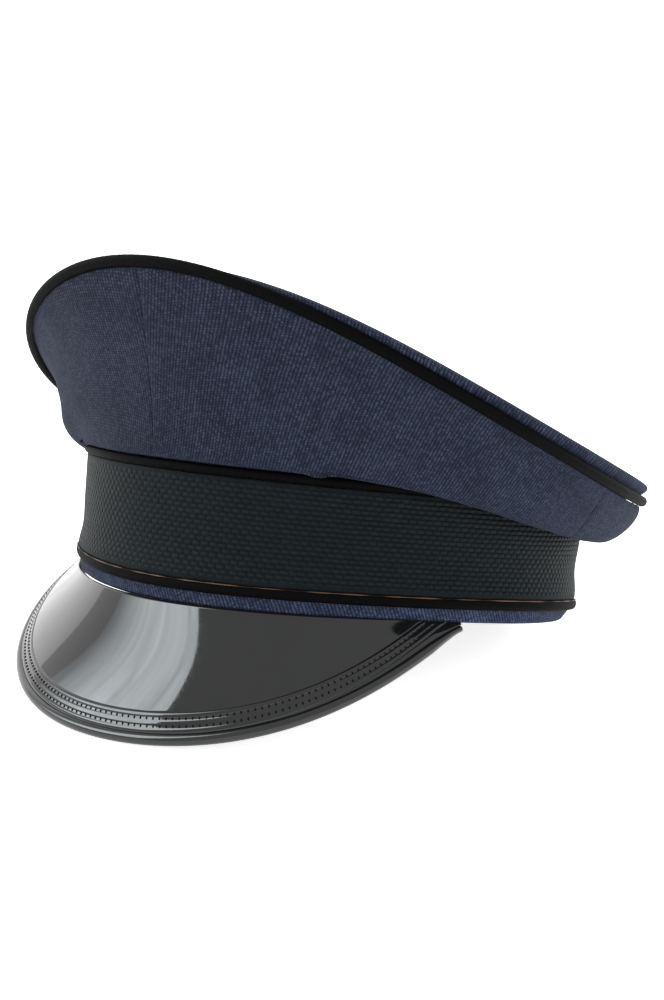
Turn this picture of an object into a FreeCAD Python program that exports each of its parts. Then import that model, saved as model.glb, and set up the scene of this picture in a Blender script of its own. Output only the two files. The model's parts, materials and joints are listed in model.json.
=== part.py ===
"""Military peaked cap resting on a table on its visor edge and on the back of its band.

Millimetres, +Z up. The front of the cap faces -Y and the wearer's left is +X.
The cap is laid out upright, in a head frame whose XY plane is parallel to the top of the band,
and is then tipped back into its resting pose. Angles run round the head: 0 is the front,
90 degrees the wearer's left, 180 the back.
"""
import FreeCAD
import Part
import math
import os

# Band: an egg-shaped ring that leans in a little at the temples towards its top.
BAND_HALF_LENGTH = 102.3
BAND_HALF_WIDTH = 95.9
BAND_TOP_HALF_LENGTH = 105.7
BAND_TOP_HALF_WIDTH = 94.7
TEMPLE_FULLNESS = 2.3
END_FULLNESS = 0.6
FRONT_NARROWING = 3.0
BAND_TOP = 47.8
EDGE_RISE_FRONT = 3.7
EDGE_ARCH = 2.5
LOWER_PIPING_HEIGHT = 6.2

# The band's wall is not quite straight: it stands out just above the lower piping at the
# front, draws in at the back, and its lower edge tucks in at the back.
FRONT_BULGE = 1.4
BULGE_PLACE = 0.13
BULGE_SPAN = 0.12
REAR_WAIST = 1.3
WAIST_PLACE = 0.32
WAIST_SPAN = 0.20
REAR_TUCK = 4.5
TUCK_START = 78.0
TUCK_END = 118.0

# Crown rim: the outline of the top, seen from above, and its height round the head.
RIM_CENTRE_FORWARD = -4.4
RIM_HALF_LENGTH = 133.0
RIM_HALF_WIDTH = 117.0
RIM_BLUNT_FRONT = -4.0
RIM_HEIGHT = 70.0
RIM_WAVES = (30.1, 13.7, 0.0, 0.6)

# Crown sides: a curve from the band to the rim. Each pair of numbers moves one of its two
# middle poles outwards and upwards, at the front, the side and the back of the head, and at
# the corners between front and side.
SIDE_FOOT_RISE = 2.2
SIDE_FOOT_OUT = 2.2
RIM_TUCK = 0.6
LOW_POLE_OUT = (-2.3, 2.8, 1.4)
LOW_POLE_UP = (14.2, -62.8, -17.0)
HIGH_POLE_OUT = (-2.0, -12.3, 14.1)
HIGH_POLE_UP = (-10.6, -7.1, -7.5)
LOW_POLE_CORNER = (0.5, -2.5)
HIGH_POLE_CORNER = (4.9, 20.1)
CORNER_ANGLE = 58.0
CORNER_SPAN = 24.0
FRONT_FALL = 1.87

# Crown cloth. The top starts inside the rim piping, rolls up and out over it, and then runs
# flat over a low dome; towards the front the roll dies away.
CLOTH = 1.2
RIM_PIPING_RADIUS = 2.05
TOP_EDGE_RISE = 0.8
TOP_EDGE_ROLL = 6.2
TOP_ROLL_WIDTH = 1.6
TOP_OVERHANG = 5.2
OVERHANG_PLACE = 1.5
TOP_FRONT_FLAT = 20
TOP_DOME = 6.0
SIDE_SEAM = 92.0
INTERLINING = 1.5
INTERLINING_HALF_ANGLE = 46.0
STAY = 1.0
LINING = 0.6
LINING_DROP = 7.0
LINING_SHARE = 0.9
LINING_LAP = 3.0
SHIELD_SHARE = 0.45
SHIELD = 0.5
CLEARANCE = 0.1

# Pipings round the band, and the layers of the band from the outside in.
UPPER_PIPING_RADIUS = 1.6
UPPER_PIPING_HALF_DEPTH = 1.3
LOWER_PIPING_RADIUS = 1.9
LOWER_PIPING_HALF_DEPTH = 1.1
LOWER_PIPING_OFFSET = -0.2
BRAID = 1.3
STRIP_OUTSIDE = -0.5
BASE_CLOTH = 0.9
STIFFENER = 1.0
SEWING_FLANGE = 0.8
PAD_LOW = 13.0
PAD_HIGH = 36.0
PAD_HALF_ANGLE = 45.0
BASE_CLOTH_OUTSIDE = -1.4
STIFFENER_OUTSIDE = -2.4
SEWING_FLANGE_OUTSIDE = -3.5
SWEATBAND_OUTSIDE = -4.5
SWEATBAND_INSIDE = -5.6
SWEATBAND_HEIGHT = 38.0
SWEATBAND_LOW = 1.6
STIFFENER_LOW = 0.8
STIFFENER_DROP = 1.5
REED_RADIUS = 0.8
REED_HEIGHT = 0.7
REED_OUTSIDE = -5.0
TAPE = 0.6
TAPE_HALF_ANGLE = 7.0
TAPE_LOW = 6.5
TAPE_HIGH = 37.0
FLANGE_LOW = -1.2
FLANGE_HIGH = 11.5
FLANGE_SHORT = 4.0

# Visor: a drooping crescent plate.
VISOR_HALF_ANGLE = 69.0
VISOR_DEPTH = 51.2
VISOR_TAPER = 1.57
VISOR_FULLNESS = 0.89
VISOR_DROOP_CENTRE = 63.5
VISOR_DROOP_LOSS = 21.2
VISOR_CAMBER = 1.2
VISOR_ROOT_DROP = 0.6
VISOR_EDGE_RADIUS = 2.0
VISOR_RIM_WIDTH = 6.7
VISOR_RIM_RISE = 0.8
PATENT = 0.8
VISOR_CORE = 1.2
UNDERLAY = 0.5
BINDING_MIDDLE = -0.55

# Crown wire and its fittings.
WIRE_RADIUS = 1.1
SLEEVE_RADIUS = 2.1
WIRE_INSET = 8.2
WIRE_DROP = 6.6
STAY_HALF_ANGLE = 8.0
FERRULE_HALF_ANGLE = 6.0
LOOP_HALF_ANGLE = 5.0

# Resting pose.
REST_TILT = 10.12

RING_STATIONS = 36
SIDE_STATIONS = 14


def vector(forward, left, up):
    """Head frame: forward is -Y, left is +X."""
    return FreeCAD.Vector(left, -forward, up)


def stations(first, last, count):
    """Evenly spaced angles in radians, both ends included."""
    step = (last - first) / (count - 1)
    return [math.radians(first + step * i) for i in range(count)]


RING = stations(0.0, 360.0 - 360.0 / RING_STATIONS, RING_STATIONS)


def band_edge(t):
    """Height of the band's lower edge, which rises to the front."""
    return EDGE_RISE_FRONT * math.cos(t) - EDGE_ARCH * math.cos(2 * t)


def wall_size(z):
    """Half length and half width of the band at height z."""
    k = (z - LOWER_PIPING_HEIGHT) / (BAND_TOP - LOWER_PIPING_HEIGHT)
    length = BAND_HALF_LENGTH + (BAND_TOP_HALF_LENGTH - BAND_HALF_LENGTH) * k
    width = BAND_HALF_WIDTH + (BAND_TOP_HALF_WIDTH - BAND_HALF_WIDTH) * k
    return length, width


def wall_normal(t):
    """Outward horizontal direction of the band's wall, the same at every height."""
    length, width = wall_size(BAND_TOP / 2)
    run_forward = -length * math.sin(t) - 3 * END_FULLNESS * math.sin(3 * t)
    run_left = width * math.cos(t) - 2 * FRONT_NARROWING * math.cos(2 * t)
    run_left -= 3 * TEMPLE_FULLNESS * math.cos(3 * t)
    return vector(run_left, -run_forward, 0).normalize()


def hump(x, centre, span):
    """1 at centre, falling smoothly to 0 on both sides."""
    return math.exp(-((x - centre) / span) ** 2)


def wall_relief(t, z):
    """How far the band's wall stands out from its straight shape."""
    k = (z - LOWER_PIPING_HEIGHT) / (BAND_TOP - LOWER_PIPING_HEIGHT)
    front = (1 + math.cos(t)) / 2
    relief = FRONT_BULGE * front * hump(k, BULGE_PLACE, BULGE_SPAN)
    relief -= REAR_WAIST * (1 - front) * hump(k, WAIST_PLACE, WAIST_SPAN)
    from_front = math.degrees(math.acos(math.cos(t)))
    turn = min(max((from_front - TUCK_START) / (TUCK_END - TUCK_START), 0.0), 1.0)
    below = min(max(1 - (z - band_edge(t)) / LOWER_PIPING_HEIGHT, 0.0), 1.2)
    return relief - REAR_TUCK * turn * turn * (3 - 2 * turn) * below


def wall(t, z, offset):
    """Point on the band's wall at height z, moved outwards by offset."""
    length, width = wall_size(z)
    forward = length * math.cos(t) + END_FULLNESS * math.cos(3 * t)
    left = width * math.sin(t) - FRONT_NARROWING * math.sin(2 * t) - TEMPLE_FULLNESS * math.sin(3 * t)
    return vector(forward, left, z) + wall_normal(t) * (offset + wall_relief(t, z))


def rim_outward(t):
    """Outward horizontal direction of the rim's outline."""
    run_forward = -RIM_HALF_LENGTH * math.sin(t) - 2 * RIM_BLUNT_FRONT * math.sin(2 * t)
    run_left = RIM_HALF_WIDTH * math.cos(t)
    return vector(run_left, -run_forward, 0).normalize()


def rim(t, outward, up):
    """Point beside the crown's rim line, moved outwards and up."""
    forward = RIM_CENTRE_FORWARD + RIM_HALF_LENGTH * math.cos(t) + RIM_BLUNT_FRONT * math.cos(2 * t)
    left = RIM_HALF_WIDTH * math.sin(t)
    height = RIM_HEIGHT + sum(wave * math.cos((i + 1) * t) for i, wave in enumerate(RIM_WAVES))
    return vector(forward, left, height + up) + rim_outward(t) * outward


def top(t, s):
    """Outer surface of the crown's top: s is 0 at the centre and 1 at the rim."""
    forward = RIM_CENTRE_FORWARD + s * RIM_HALF_LENGTH * math.cos(t)
    forward += s ** 2 * RIM_BLUNT_FRONT * math.cos(2 * t)
    left = s * RIM_HALF_WIDTH * math.sin(t)
    height = RIM_HEIGHT + TOP_EDGE_RISE + TOP_DOME * (1 - s ** 2)
    for i, wave in enumerate(RIM_WAVES):
        height += wave * s ** (i + 1) * math.cos((i + 1) * t)
    away_from_front = 1 - ((1 + s * math.cos(t)) / 2) ** TOP_FRONT_FLAT
    inward = max((1 - s) * RIM_HALF_WIDTH - RIM_PIPING_RADIUS - CLEARANCE, 0.0)
    roll = TOP_EDGE_ROLL * (1 - math.exp(-inward / TOP_ROLL_WIDTH))
    over = TOP_OVERHANG * inward / OVERHANG_PLACE * math.exp(1 - inward / OVERHANG_PLACE)
    lifted = vector(forward, left, height + roll * away_from_front)
    return lifted + rim_outward(t) * (over * away_from_front)


def spline(points):
    """Smooth edge through points."""
    curve = Part.BSplineCurve()
    curve.interpolate(points)
    return curve.toShape()


def polygon(points):
    """Closed wire with straight sides."""
    return Part.makePolygon(points + [points[0]])


def sheet_outline(outer, inner):
    """Closed wire round a thin sheet: two smooth long sides and two straight short ones."""
    ends = [Part.makeLine(outer[-1], inner[-1]), Part.makeLine(inner[0], outer[0])]
    return Part.Wire([spline(outer), ends[0], spline(inner[::-1]), ends[1]])


def ring_solid(outlines):
    """Solid through a closed loop of outlines."""
    return Part.makeLoft(outlines, True, False, True)


def span_solid(outlines):
    """Solid through an open row of outlines."""
    return Part.makeLoft(outlines, True, False, False)


def mirrored(shape):
    """The same piece on the other side of the head."""
    return shape.mirror(FreeCAD.Vector(0, 0, 0), FreeCAD.Vector(1, 0, 0))


def band_ring(corners):
    """Ring round the band; each corner is (offset, height, whether height is from the lower edge)."""
    outlines = []
    for t in RING:
        outlines.append(polygon([wall(t, z + band_edge(t) * low, offset) for offset, z, low in corners]))
    return ring_solid(outlines)


def face_rows(offset, low, high, follow=0):
    """Corners up one face of a band layer, from low, measured from the band's lower edge, to high.

    follow is 1 where high is measured from the lower edge too.
    """
    shares = (0.0, 0.08, 0.16, 0.26, 0.38, 0.52, 0.72, 1.0)
    return [(offset, low + (high - low) * share, 1 - share * (1 - follow)) for share in shares]


def layer_corners(outside, inside, low, high, follow=0):
    """Closed outline of a band layer of even thickness."""
    return face_rows(outside, low, high, follow) + face_rows(inside, low, high, follow)[::-1]


def band_span(first, last, count, corners):
    """Part of a band ring between two angles."""
    outlines = []
    for t in stations(first, last, count):
        outlines.append(polygon([wall(t, z + band_edge(t) * low, offset) for offset, z, low in corners]))
    return span_solid(outlines)


def heading(path, t):
    """Direction of path(t)."""
    step = 0.001
    return path(t + step) - path(t - step)


def round_cord(path, angles, radius, closed):
    """Round cord along path(t)."""
    outlines = []
    for t in angles:
        outlines.append(Part.Wire([Part.Circle(path(t), heading(path, t), radius).toShape()]))
    return Part.makeLoft(outlines, True, False, closed)


def flat_piping(path, half_depth, half_height):
    """Oval cord round the band, its depth at right angles to the wall."""
    sides = 12
    outlines = []
    for t in RING:
        along = heading(path, t).normalize()
        outward = wall_normal(t)
        outward = (outward - along * outward.dot(along)).normalize()
        upward = along.cross(outward)
        points = []
        for i in range(sides):
            a = 2 * math.pi * i / sides
            depth = outward * (half_depth * math.cos(a))
            points.append(path(t) + depth + upward * (half_height * math.sin(a)))
        curve = Part.BSplineCurve()
        curve.interpolate(points, PeriodicFlag=True)
        outlines.append(Part.Wire([curve.toShape()]))
    return ring_solid(outlines)


# ---------------------------------------------------------------- crown sides

def front_share(t):
    """1 at the front, falling to 0 at the back."""
    return ((1 + math.cos(t)) / 2) ** FRONT_FALL


def blend_round(t, values, corner):
    """Value that changes smoothly round the head, with an extra amount at the corners."""
    front, side, back = values
    share = front_share(t)
    back_share = ((1 - math.cos(t)) / 2) ** 2
    from_front = math.degrees(math.acos(math.cos(t)))
    extra = corner * hump(from_front, CORNER_ANGLE, CORNER_SPAN)
    return front * share + (1 - share) * (side * (1 - back_share) + back * back_share) + extra


def side_profile(t, inside, first, last, count):
    """Points up the crown's side at angle t, moved inside the cloth by a distance.

    The cloth leaves the band, bellies out and then reaches up to the rim. At the temples and
    the back it hangs below the top of the band before it turns up.
    """
    foot = wall(t, BAND_TOP + SIDE_FOOT_RISE, SIDE_FOOT_OUT)
    head = rim(t, -RIM_TUCK, -RIM_PIPING_RADIUS - CLEARANCE)
    across = FreeCAD.Vector(head.x - foot.x, head.y - foot.y, 0)
    reach = across.Length
    across = across.normalize()
    rise = head.z - foot.z
    low_out = blend_round(t, LOW_POLE_OUT, LOW_POLE_CORNER[0])
    low_up = blend_round(t, LOW_POLE_UP, LOW_POLE_CORNER[1])
    high_out = blend_round(t, HIGH_POLE_OUT, HIGH_POLE_CORNER[0])
    high_up = blend_round(t, HIGH_POLE_UP, HIGH_POLE_CORNER[1])
    poles_out = [0, low_out, reach + high_out, reach]
    poles_up = [0, low_up, rise + high_up, rise]
    points = []
    for i in range(count):
        q = first + (last - first) * i / (count - 1)
        weights = [(1 - q) ** 3, 3 * q * (1 - q) ** 2, 3 * q * q * (1 - q), q ** 3]
        slopes = [-3 * (1 - q) ** 2, 3 * (1 - q) * (1 - 3 * q), 3 * q * (2 - 3 * q), 3 * q * q]
        out = sum(w * p for w, p in zip(weights, poles_out))
        up = sum(w * p for w, p in zip(weights, poles_up))
        run_out = sum(w * p for w, p in zip(slopes, poles_out))
        run_up = sum(w * p for w, p in zip(slopes, poles_up))
        run = math.hypot(run_out, run_up)
        out -= inside * run_up / run
        up += inside * run_out / run
        points.append(foot + across * out + FreeCAD.Vector(0, 0, up))
    return points


def side_layer(first, last, count, outside, thickness, low=0.0, high=1.0):
    """Sheet that follows the crown's side between two angles."""
    outlines = []
    for t in stations(first, last, count):
        outer = side_profile(t, outside, low, high, 9)
        inner = side_profile(t, outside + thickness, low, high, 9)
        outlines.append(sheet_outline(outer, inner))
    return span_solid(outlines)


def crown_front_left_panel():
    return side_layer(0.0, SIDE_SEAM, SIDE_STATIONS, 0.0, CLOTH)


def crown_front_right_panel():
    return mirrored(crown_front_left_panel())


def crown_rear_left_panel():
    return side_layer(SIDE_SEAM, 180.0, SIDE_STATIONS, 0.0, CLOTH)


def crown_rear_right_panel():
    return mirrored(crown_rear_left_panel())


def crown_front_interlining():
    """Springy pad behind the front panels that keeps them smooth."""
    half = INTERLINING_HALF_ANGLE
    outside = CLOTH + 3 * CLEARANCE
    return side_layer(-half, half, 14, outside, INTERLINING, 0.08, 0.9)


def crown_front_stay():
    """Upright strap that holds the front of the crown up."""
    outside = CLOTH + INTERLINING + 9 * CLEARANCE
    return side_layer(-STAY_HALF_ANGLE, STAY_HALF_ANGLE, 5, outside, STAY, 0.05, 0.93)


# ------------------------------------------------------------------ crown top

DISC_MIDDLE = 0.03
DISC_STEPS = 16
DISC_CROWDING = 2.2
DISC_STEP = 0.001
PLUG_LAP = 1.3


def disc_points(t, outer_s, drop):
    """Points from the middle of the crown's top to outer_s of the way to the rim.

    They stand closer together towards the rim, and lie below the outer surface by drop,
    measured at right angles to it.
    """
    points = []
    for i in range(DISC_STEPS):
        share = 1 - (1 - i / (DISC_STEPS - 1)) ** DISC_CROWDING
        s = DISC_MIDDLE + (outer_s - DISC_MIDDLE) * share
        run = top(t, s) - top(t, s - DISC_STEP)
        out = run.dot(rim_outward(t))
        across = rim_outward(t) * -run.z + FreeCAD.Vector(0, 0, out)
        points.append(top(t, s) - across * (drop / math.hypot(out, run.z)))
    return points


def disc_sheet(outer_s, drop, thickness):
    """Sheet parallel to the crown's top, out to outer_s of the way to the rim."""
    outlines = []
    for t in RING:
        upper = disc_points(t, outer_s, drop)
        lower = disc_points(t, outer_s, drop + thickness)
        outlines.append(sheet_outline(upper, lower))
    ring = ring_solid(outlines)
    centre = top(0, 0) - FreeCAD.Vector(0, 0, drop + thickness)
    along = top(0, DISC_MIDDLE) - top(math.pi, DISC_MIDDLE)
    sideways = top(math.pi / 2, DISC_MIDDLE) - top(-math.pi / 2, DISC_MIDDLE)
    normal = along.cross(sideways) if along.cross(sideways).z > 0 else sideways.cross(along)
    plug = Part.makeCylinder(RIM_HALF_LENGTH * DISC_MIDDLE * PLUG_LAP, thickness, centre, normal)
    return ring.fuse(plug).removeSplitter().Solids[0]


def crown_top_panel():
    return disc_sheet(1 - (RIM_PIPING_RADIUS + CLEARANCE) / RIM_HALF_WIDTH, 0.0, CLOTH)


def crown_lining_top():
    return disc_sheet(LINING_SHARE, LINING_DROP, LINING)


def lining_sweat_shield():
    """Clear oval sheet sewn under the middle of the lining."""
    return disc_sheet(SHIELD_SHARE, LINING_DROP + LINING + 2 * CLEARANCE, SHIELD)


def crown_lining_side():
    """Lining between the top of the band and the lining's top."""
    outlines = []
    for t in RING:
        foot = wall(t, BAND_TOP - LINING_LAP, SWEATBAND_OUTSIDE + 3 * CLEARANCE)
        head = top(t, LINING_SHARE + 0.005) - FreeCAD.Vector(0, 0, LINING_DROP + 1.0)
        run = head - foot
        out = run.dot(wall_normal(t))
        inside = wall_normal(t) * -run.z + FreeCAD.Vector(0, 0, out)
        inside = inside * (LINING / math.hypot(out, run.z))
        outlines.append(polygon([foot, foot + inside, head + inside, head]))
    return ring_solid(outlines)


def crown_rim_piping():
    return round_cord(lambda t: rim(t, 0, 0), RING, RIM_PIPING_RADIUS, True)


def wire_path(t):
    return rim(t, -WIRE_INSET, -WIRE_DROP)


def crown_wire():
    """Springy hoop that spreads the crown."""
    return round_cord(wire_path, RING, WIRE_RADIUS, True)


def wire_sleeve(first, last):
    """Short tube round the hoop."""
    angles = stations(first, last, 5)
    tube = round_cord(wire_path, angles, SLEEVE_RADIUS, False)
    return tube.cut(round_cord(wire_path, RING, WIRE_RADIUS + 0.05, True))


def crown_wire_ferrule():
    return wire_sleeve(180.0 - FERRULE_HALF_ANGLE, 180.0 + FERRULE_HALF_ANGLE)


def stay_wire_loop():
    return wire_sleeve(-LOOP_HALF_ANGLE, LOOP_HALF_ANGLE)


# ----------------------------------------------------------------------- band

def band_base_cloth():
    """Cloth of the band; its lower edge shows as a strip below the lower piping."""
    strip = LOWER_PIPING_HEIGHT - LOWER_PIPING_RADIUS - CLEARANCE
    inside = BASE_CLOTH_OUTSIDE - BASE_CLOTH
    high = BAND_TOP - UPPER_PIPING_RADIUS / 2
    upper = layer_corners(BASE_CLOTH_OUTSIDE, inside, LOWER_PIPING_HEIGHT, high)
    return band_ring([(inside, 0.0, 1), (STRIP_OUTSIDE, 0.0, 1), (STRIP_OUTSIDE, strip, 1)] + upper)


def band_braid():
    low = LOWER_PIPING_HEIGHT + LOWER_PIPING_RADIUS + CLEARANCE
    high = BAND_TOP - UPPER_PIPING_RADIUS - CLEARANCE
    return band_ring(layer_corners(0.0, -BRAID, low, high))


def band_upper_piping():
    def path(t):
        return wall(t, BAND_TOP, 0.0)
    return flat_piping(path, UPPER_PIPING_HALF_DEPTH, UPPER_PIPING_RADIUS)


def band_lower_piping():
    def path(t):
        return wall(t, LOWER_PIPING_HEIGHT + band_edge(t), LOWER_PIPING_OFFSET)
    return flat_piping(path, LOWER_PIPING_HALF_DEPTH, LOWER_PIPING_RADIUS)


def band_stiffener():
    inside = STIFFENER_OUTSIDE - STIFFENER
    upper = layer_corners(STIFFENER_OUTSIDE, inside, LOWER_PIPING_HEIGHT, BAND_TOP - STIFFENER_DROP)
    return band_ring([(inside, STIFFENER_LOW, 1), (STIFFENER_OUTSIDE, STIFFENER_LOW, 1)] + upper)


def sweatband():
    upper = layer_corners(SWEATBAND_OUTSIDE, SWEATBAND_INSIDE, LOWER_PIPING_HEIGHT, SWEATBAND_HEIGHT, 1)
    lower = [(SWEATBAND_INSIDE, SWEATBAND_LOW, 1), (SWEATBAND_OUTSIDE, SWEATBAND_LOW, 1)]
    return band_ring(lower + upper)


def sweatband_reed():
    """Thin cord sewn into the sweatband's lower edge."""
    return round_cord(lambda t: wall(t, REED_HEIGHT + band_edge(t), REED_OUTSIDE), RING, REED_RADIUS, True)


def sweatband_back_tape():
    """Tape over the sweatband's join at the back."""
    inside = SWEATBAND_INSIDE - TAPE
    corners = layer_corners(SWEATBAND_INSIDE, inside, TAPE_LOW, TAPE_HIGH, 1)
    return band_span(180.0 - TAPE_HALF_ANGLE, 180.0 + TAPE_HALF_ANGLE, 5, corners)


def forehead_pad():
    """Soft pad between the sweatband and the stiffener at the forehead."""
    outside = STIFFENER_OUTSIDE - STIFFENER - CLEARANCE
    corners = layer_corners(outside, SWEATBAND_OUTSIDE + CLEARANCE, PAD_LOW, PAD_HIGH, 1)
    return band_span(-PAD_HALF_ANGLE, PAD_HALF_ANGLE, 13, corners)


# ---------------------------------------------------------------------- visor

VISOR_STATIONS = 27
VISOR_SWEEP = 77.0
VISOR_LEAST_DEPTH = 1.0
BINDING_START = 1.0
BINDING_END_SHARE = 0.5
BINDING_THINNING = 20.0


def visor_share(sweep):
    """Where a section stands along the visor: 0 in the middle, 1 at its left end."""
    return math.sin(sweep)


def visor_depth(share):
    return VISOR_DEPTH * (1 - share ** 2) ** VISOR_TAPER * (1 + VISOR_FULLNESS * share ** 2)


def visor_point(share, s, lift):
    """Point on the visor, s out from its root and lifted off its upper surface."""
    t = math.radians(VISOR_HALF_ANGLE) * share
    droop = math.radians(VISOR_DROOP_CENTRE - VISOR_DROOP_LOSS * share ** 2)
    depth = max(visor_depth(share), VISOR_LEAST_DEPTH)
    along = min(max(s / depth, 0.0), 1.0)
    lift += 4 * VISOR_CAMBER * along * (1 - along) * depth / VISOR_DEPTH
    root = wall(t, band_edge(t) - VISOR_ROOT_DROP, 0.0)
    out = s * math.cos(droop) + lift * math.sin(droop)
    up = -s * math.sin(droop) + lift * math.cos(droop)
    return root + wall_normal(t) * out + FreeCAD.Vector(0, 0, up)


def visor_sheet(start, stop, upper, thickness):
    """Crescent sheet from start(depth) to stop(depth), with its upper side at a given lift."""
    outlines = []
    for sweep in stations(-VISOR_SWEEP, VISOR_SWEEP, VISOR_STATIONS):
        share = visor_share(sweep)
        depth = visor_depth(share)
        first = start(depth)
        last = max(stop(depth), first + 0.6)
        row = [first + (last - first) * i / 5 for i in range(6)]
        outer = [visor_point(share, s, upper) for s in row]
        inner = [visor_point(share, s, upper - thickness) for s in row]
        outlines.append(sheet_outline(outer, inner))
    return span_solid(outlines)


def binding_reach(depth):
    """Distance from the visor's root to the middle of its edge binding."""
    return BINDING_START + depth * (VISOR_DEPTH - VISOR_EDGE_RADIUS - BINDING_START) / VISOR_DEPTH


def binding_radius(depth):
    """The binding thins where the visor tapers out at the temples."""
    return VISOR_EDGE_RADIUS * min(1.0, BINDING_END_SHARE + depth / BINDING_THINNING)


def plate_end(depth):
    """Where the plates stop, just inside the rounded edge binding."""
    return binding_reach(depth) - binding_radius(depth) - CLEARANCE


def visor_patent_top():
    return visor_sheet(lambda depth: 0.0, plate_end, 0.0, PATENT)


def visor_rim_band():
    """Raised band that follows the visor's outer edge and carries its stitching."""
    def start(depth):
        return max(VISOR_RIM_RISE, plate_end(depth) - VISOR_RIM_WIDTH)
    return visor_sheet(start, plate_end, VISOR_RIM_RISE, VISOR_RIM_RISE - CLEARANCE)


def visor_core():
    return visor_sheet(lambda depth: 0.0, plate_end, -PATENT - CLEARANCE, VISOR_CORE)


def visor_underlay():
    upper = -PATENT - VISOR_CORE - 2 * CLEARANCE
    return visor_sheet(lambda depth: 0.8, plate_end, upper, UNDERLAY)


def visor_edge_binding():
    """Rounded binding round the visor's free edge."""
    def path(sweep):
        share = visor_share(sweep)
        return visor_point(share, binding_reach(visor_depth(share)), BINDING_MIDDLE)
    outlines = []
    for sweep in stations(-VISOR_SWEEP, VISOR_SWEEP, VISOR_STATIONS):
        radius = binding_radius(visor_depth(visor_share(sweep)))
        circle = Part.Circle(path(sweep), heading(path, sweep), radius)
        outlines.append(Part.Wire([circle.toShape()]))
    return span_solid(outlines)


def visor_sewing_flange():
    """Upright strip by which the visor is sewn inside the band."""
    half = VISOR_HALF_ANGLE - FLANGE_SHORT
    inside = SEWING_FLANGE_OUTSIDE - SEWING_FLANGE
    corners = layer_corners(SEWING_FLANGE_OUTSIDE, inside, FLANGE_LOW, FLANGE_HIGH, 1)
    return band_span(-half, half, 17, corners)


# -------------------------------------------------------------------- assembly

PIECES = (
    crown_top_panel, crown_front_left_panel, crown_front_right_panel,
    crown_rear_left_panel, crown_rear_right_panel, crown_rim_piping,
    crown_front_interlining, crown_front_stay, crown_wire, crown_wire_ferrule, stay_wire_loop,
    crown_lining_top, crown_lining_side, lining_sweat_shield,
    band_base_cloth, band_braid, band_upper_piping, band_lower_piping, band_stiffener,
    sweatband, sweatband_reed, sweatband_back_tape, forehead_pad,
    visor_patent_top, visor_rim_band, visor_core, visor_underlay, visor_edge_binding,
    visor_sewing_flange)


def tip_back(shape, extra=FreeCAD.Vector(0, 0, 0)):
    """Move a piece from the head frame into the resting pose."""
    shape.Placement = FreeCAD.Placement(extra, FreeCAD.Rotation(FreeCAD.Vector(1, 0, 0), -REST_TILT))
    return shape


def main():
    os.makedirs("parts", exist_ok=True)
    shapes = {}
    box = FreeCAD.BoundBox()
    for piece in PIECES:
        shape = tip_back(piece())
        shapes[piece.__name__] = shape
        box.add(shape.optimalBoundingBox(True, False))
    to_origin = FreeCAD.Vector(-box.Center.x, -box.Center.y, -box.ZMin)
    for name, shape in shapes.items():
        tip_back(shape, to_origin)
        shape.exportStep(os.path.join("parts", name + ".step"))
        ok = shape.isValid() and shape.isClosed()
        print(name, len(shape.Solids), "valid" if ok else "BAD", round(shape.Volume / 1000, 2), "cm3")
    print("size", round(box.XLength, 1), round(box.YLength, 1), round(box.ZLength, 1))
    print("origin moved by", to_origin)


main()
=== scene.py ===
"""Looks of the peaked cap: cloth, braid, piping, patent visor, sweatband and lining.

The shapes are laid out in the head frame of the CAD model, in millimetres, and then placed in
the resting pose in metres. Angles run round the head: 0 is the front, 90 degrees the wearer's
left, 180 the back.
"""
import bpy
import json
import math
import numpy as np
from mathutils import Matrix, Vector


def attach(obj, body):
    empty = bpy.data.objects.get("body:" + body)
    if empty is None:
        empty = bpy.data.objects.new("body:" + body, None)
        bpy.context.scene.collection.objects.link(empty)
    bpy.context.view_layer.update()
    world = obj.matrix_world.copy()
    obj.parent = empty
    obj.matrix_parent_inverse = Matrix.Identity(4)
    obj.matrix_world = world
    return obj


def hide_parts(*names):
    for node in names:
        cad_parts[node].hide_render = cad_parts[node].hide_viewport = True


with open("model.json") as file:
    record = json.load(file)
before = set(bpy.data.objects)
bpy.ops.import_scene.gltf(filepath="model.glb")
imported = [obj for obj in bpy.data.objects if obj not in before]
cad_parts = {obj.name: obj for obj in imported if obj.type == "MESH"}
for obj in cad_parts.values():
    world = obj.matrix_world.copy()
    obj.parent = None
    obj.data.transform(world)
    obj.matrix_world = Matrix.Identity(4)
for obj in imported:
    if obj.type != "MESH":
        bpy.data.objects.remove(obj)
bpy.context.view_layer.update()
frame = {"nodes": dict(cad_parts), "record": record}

# ---- dimensions, as in the CAD

MM = 0.001

BAND_HALF_LENGTH = 102.3
BAND_HALF_WIDTH = 95.9
BAND_TOP_HALF_LENGTH = 105.7
BAND_TOP_HALF_WIDTH = 94.7
TEMPLE_FULLNESS = 2.3
END_FULLNESS = 0.6
FRONT_NARROWING = 3.0
BAND_TOP = 47.8
EDGE_RISE_FRONT = 3.7
EDGE_ARCH = 2.5
LOWER_PIPING_HEIGHT = 6.2

FRONT_BULGE = 1.4
BULGE_PLACE = 0.13
BULGE_SPAN = 0.12
REAR_WAIST = 1.3
WAIST_PLACE = 0.32
WAIST_SPAN = 0.20
REAR_TUCK = 4.5
TUCK_START = 78.0
TUCK_END = 118.0

RIM_CENTRE_FORWARD = -4.4
RIM_HALF_LENGTH = 133.0
RIM_HALF_WIDTH = 117.0
RIM_BLUNT_FRONT = -4.0
RIM_HEIGHT = 70.0
RIM_WAVES = (30.1, 13.7, 0.0, 0.6)

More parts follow.
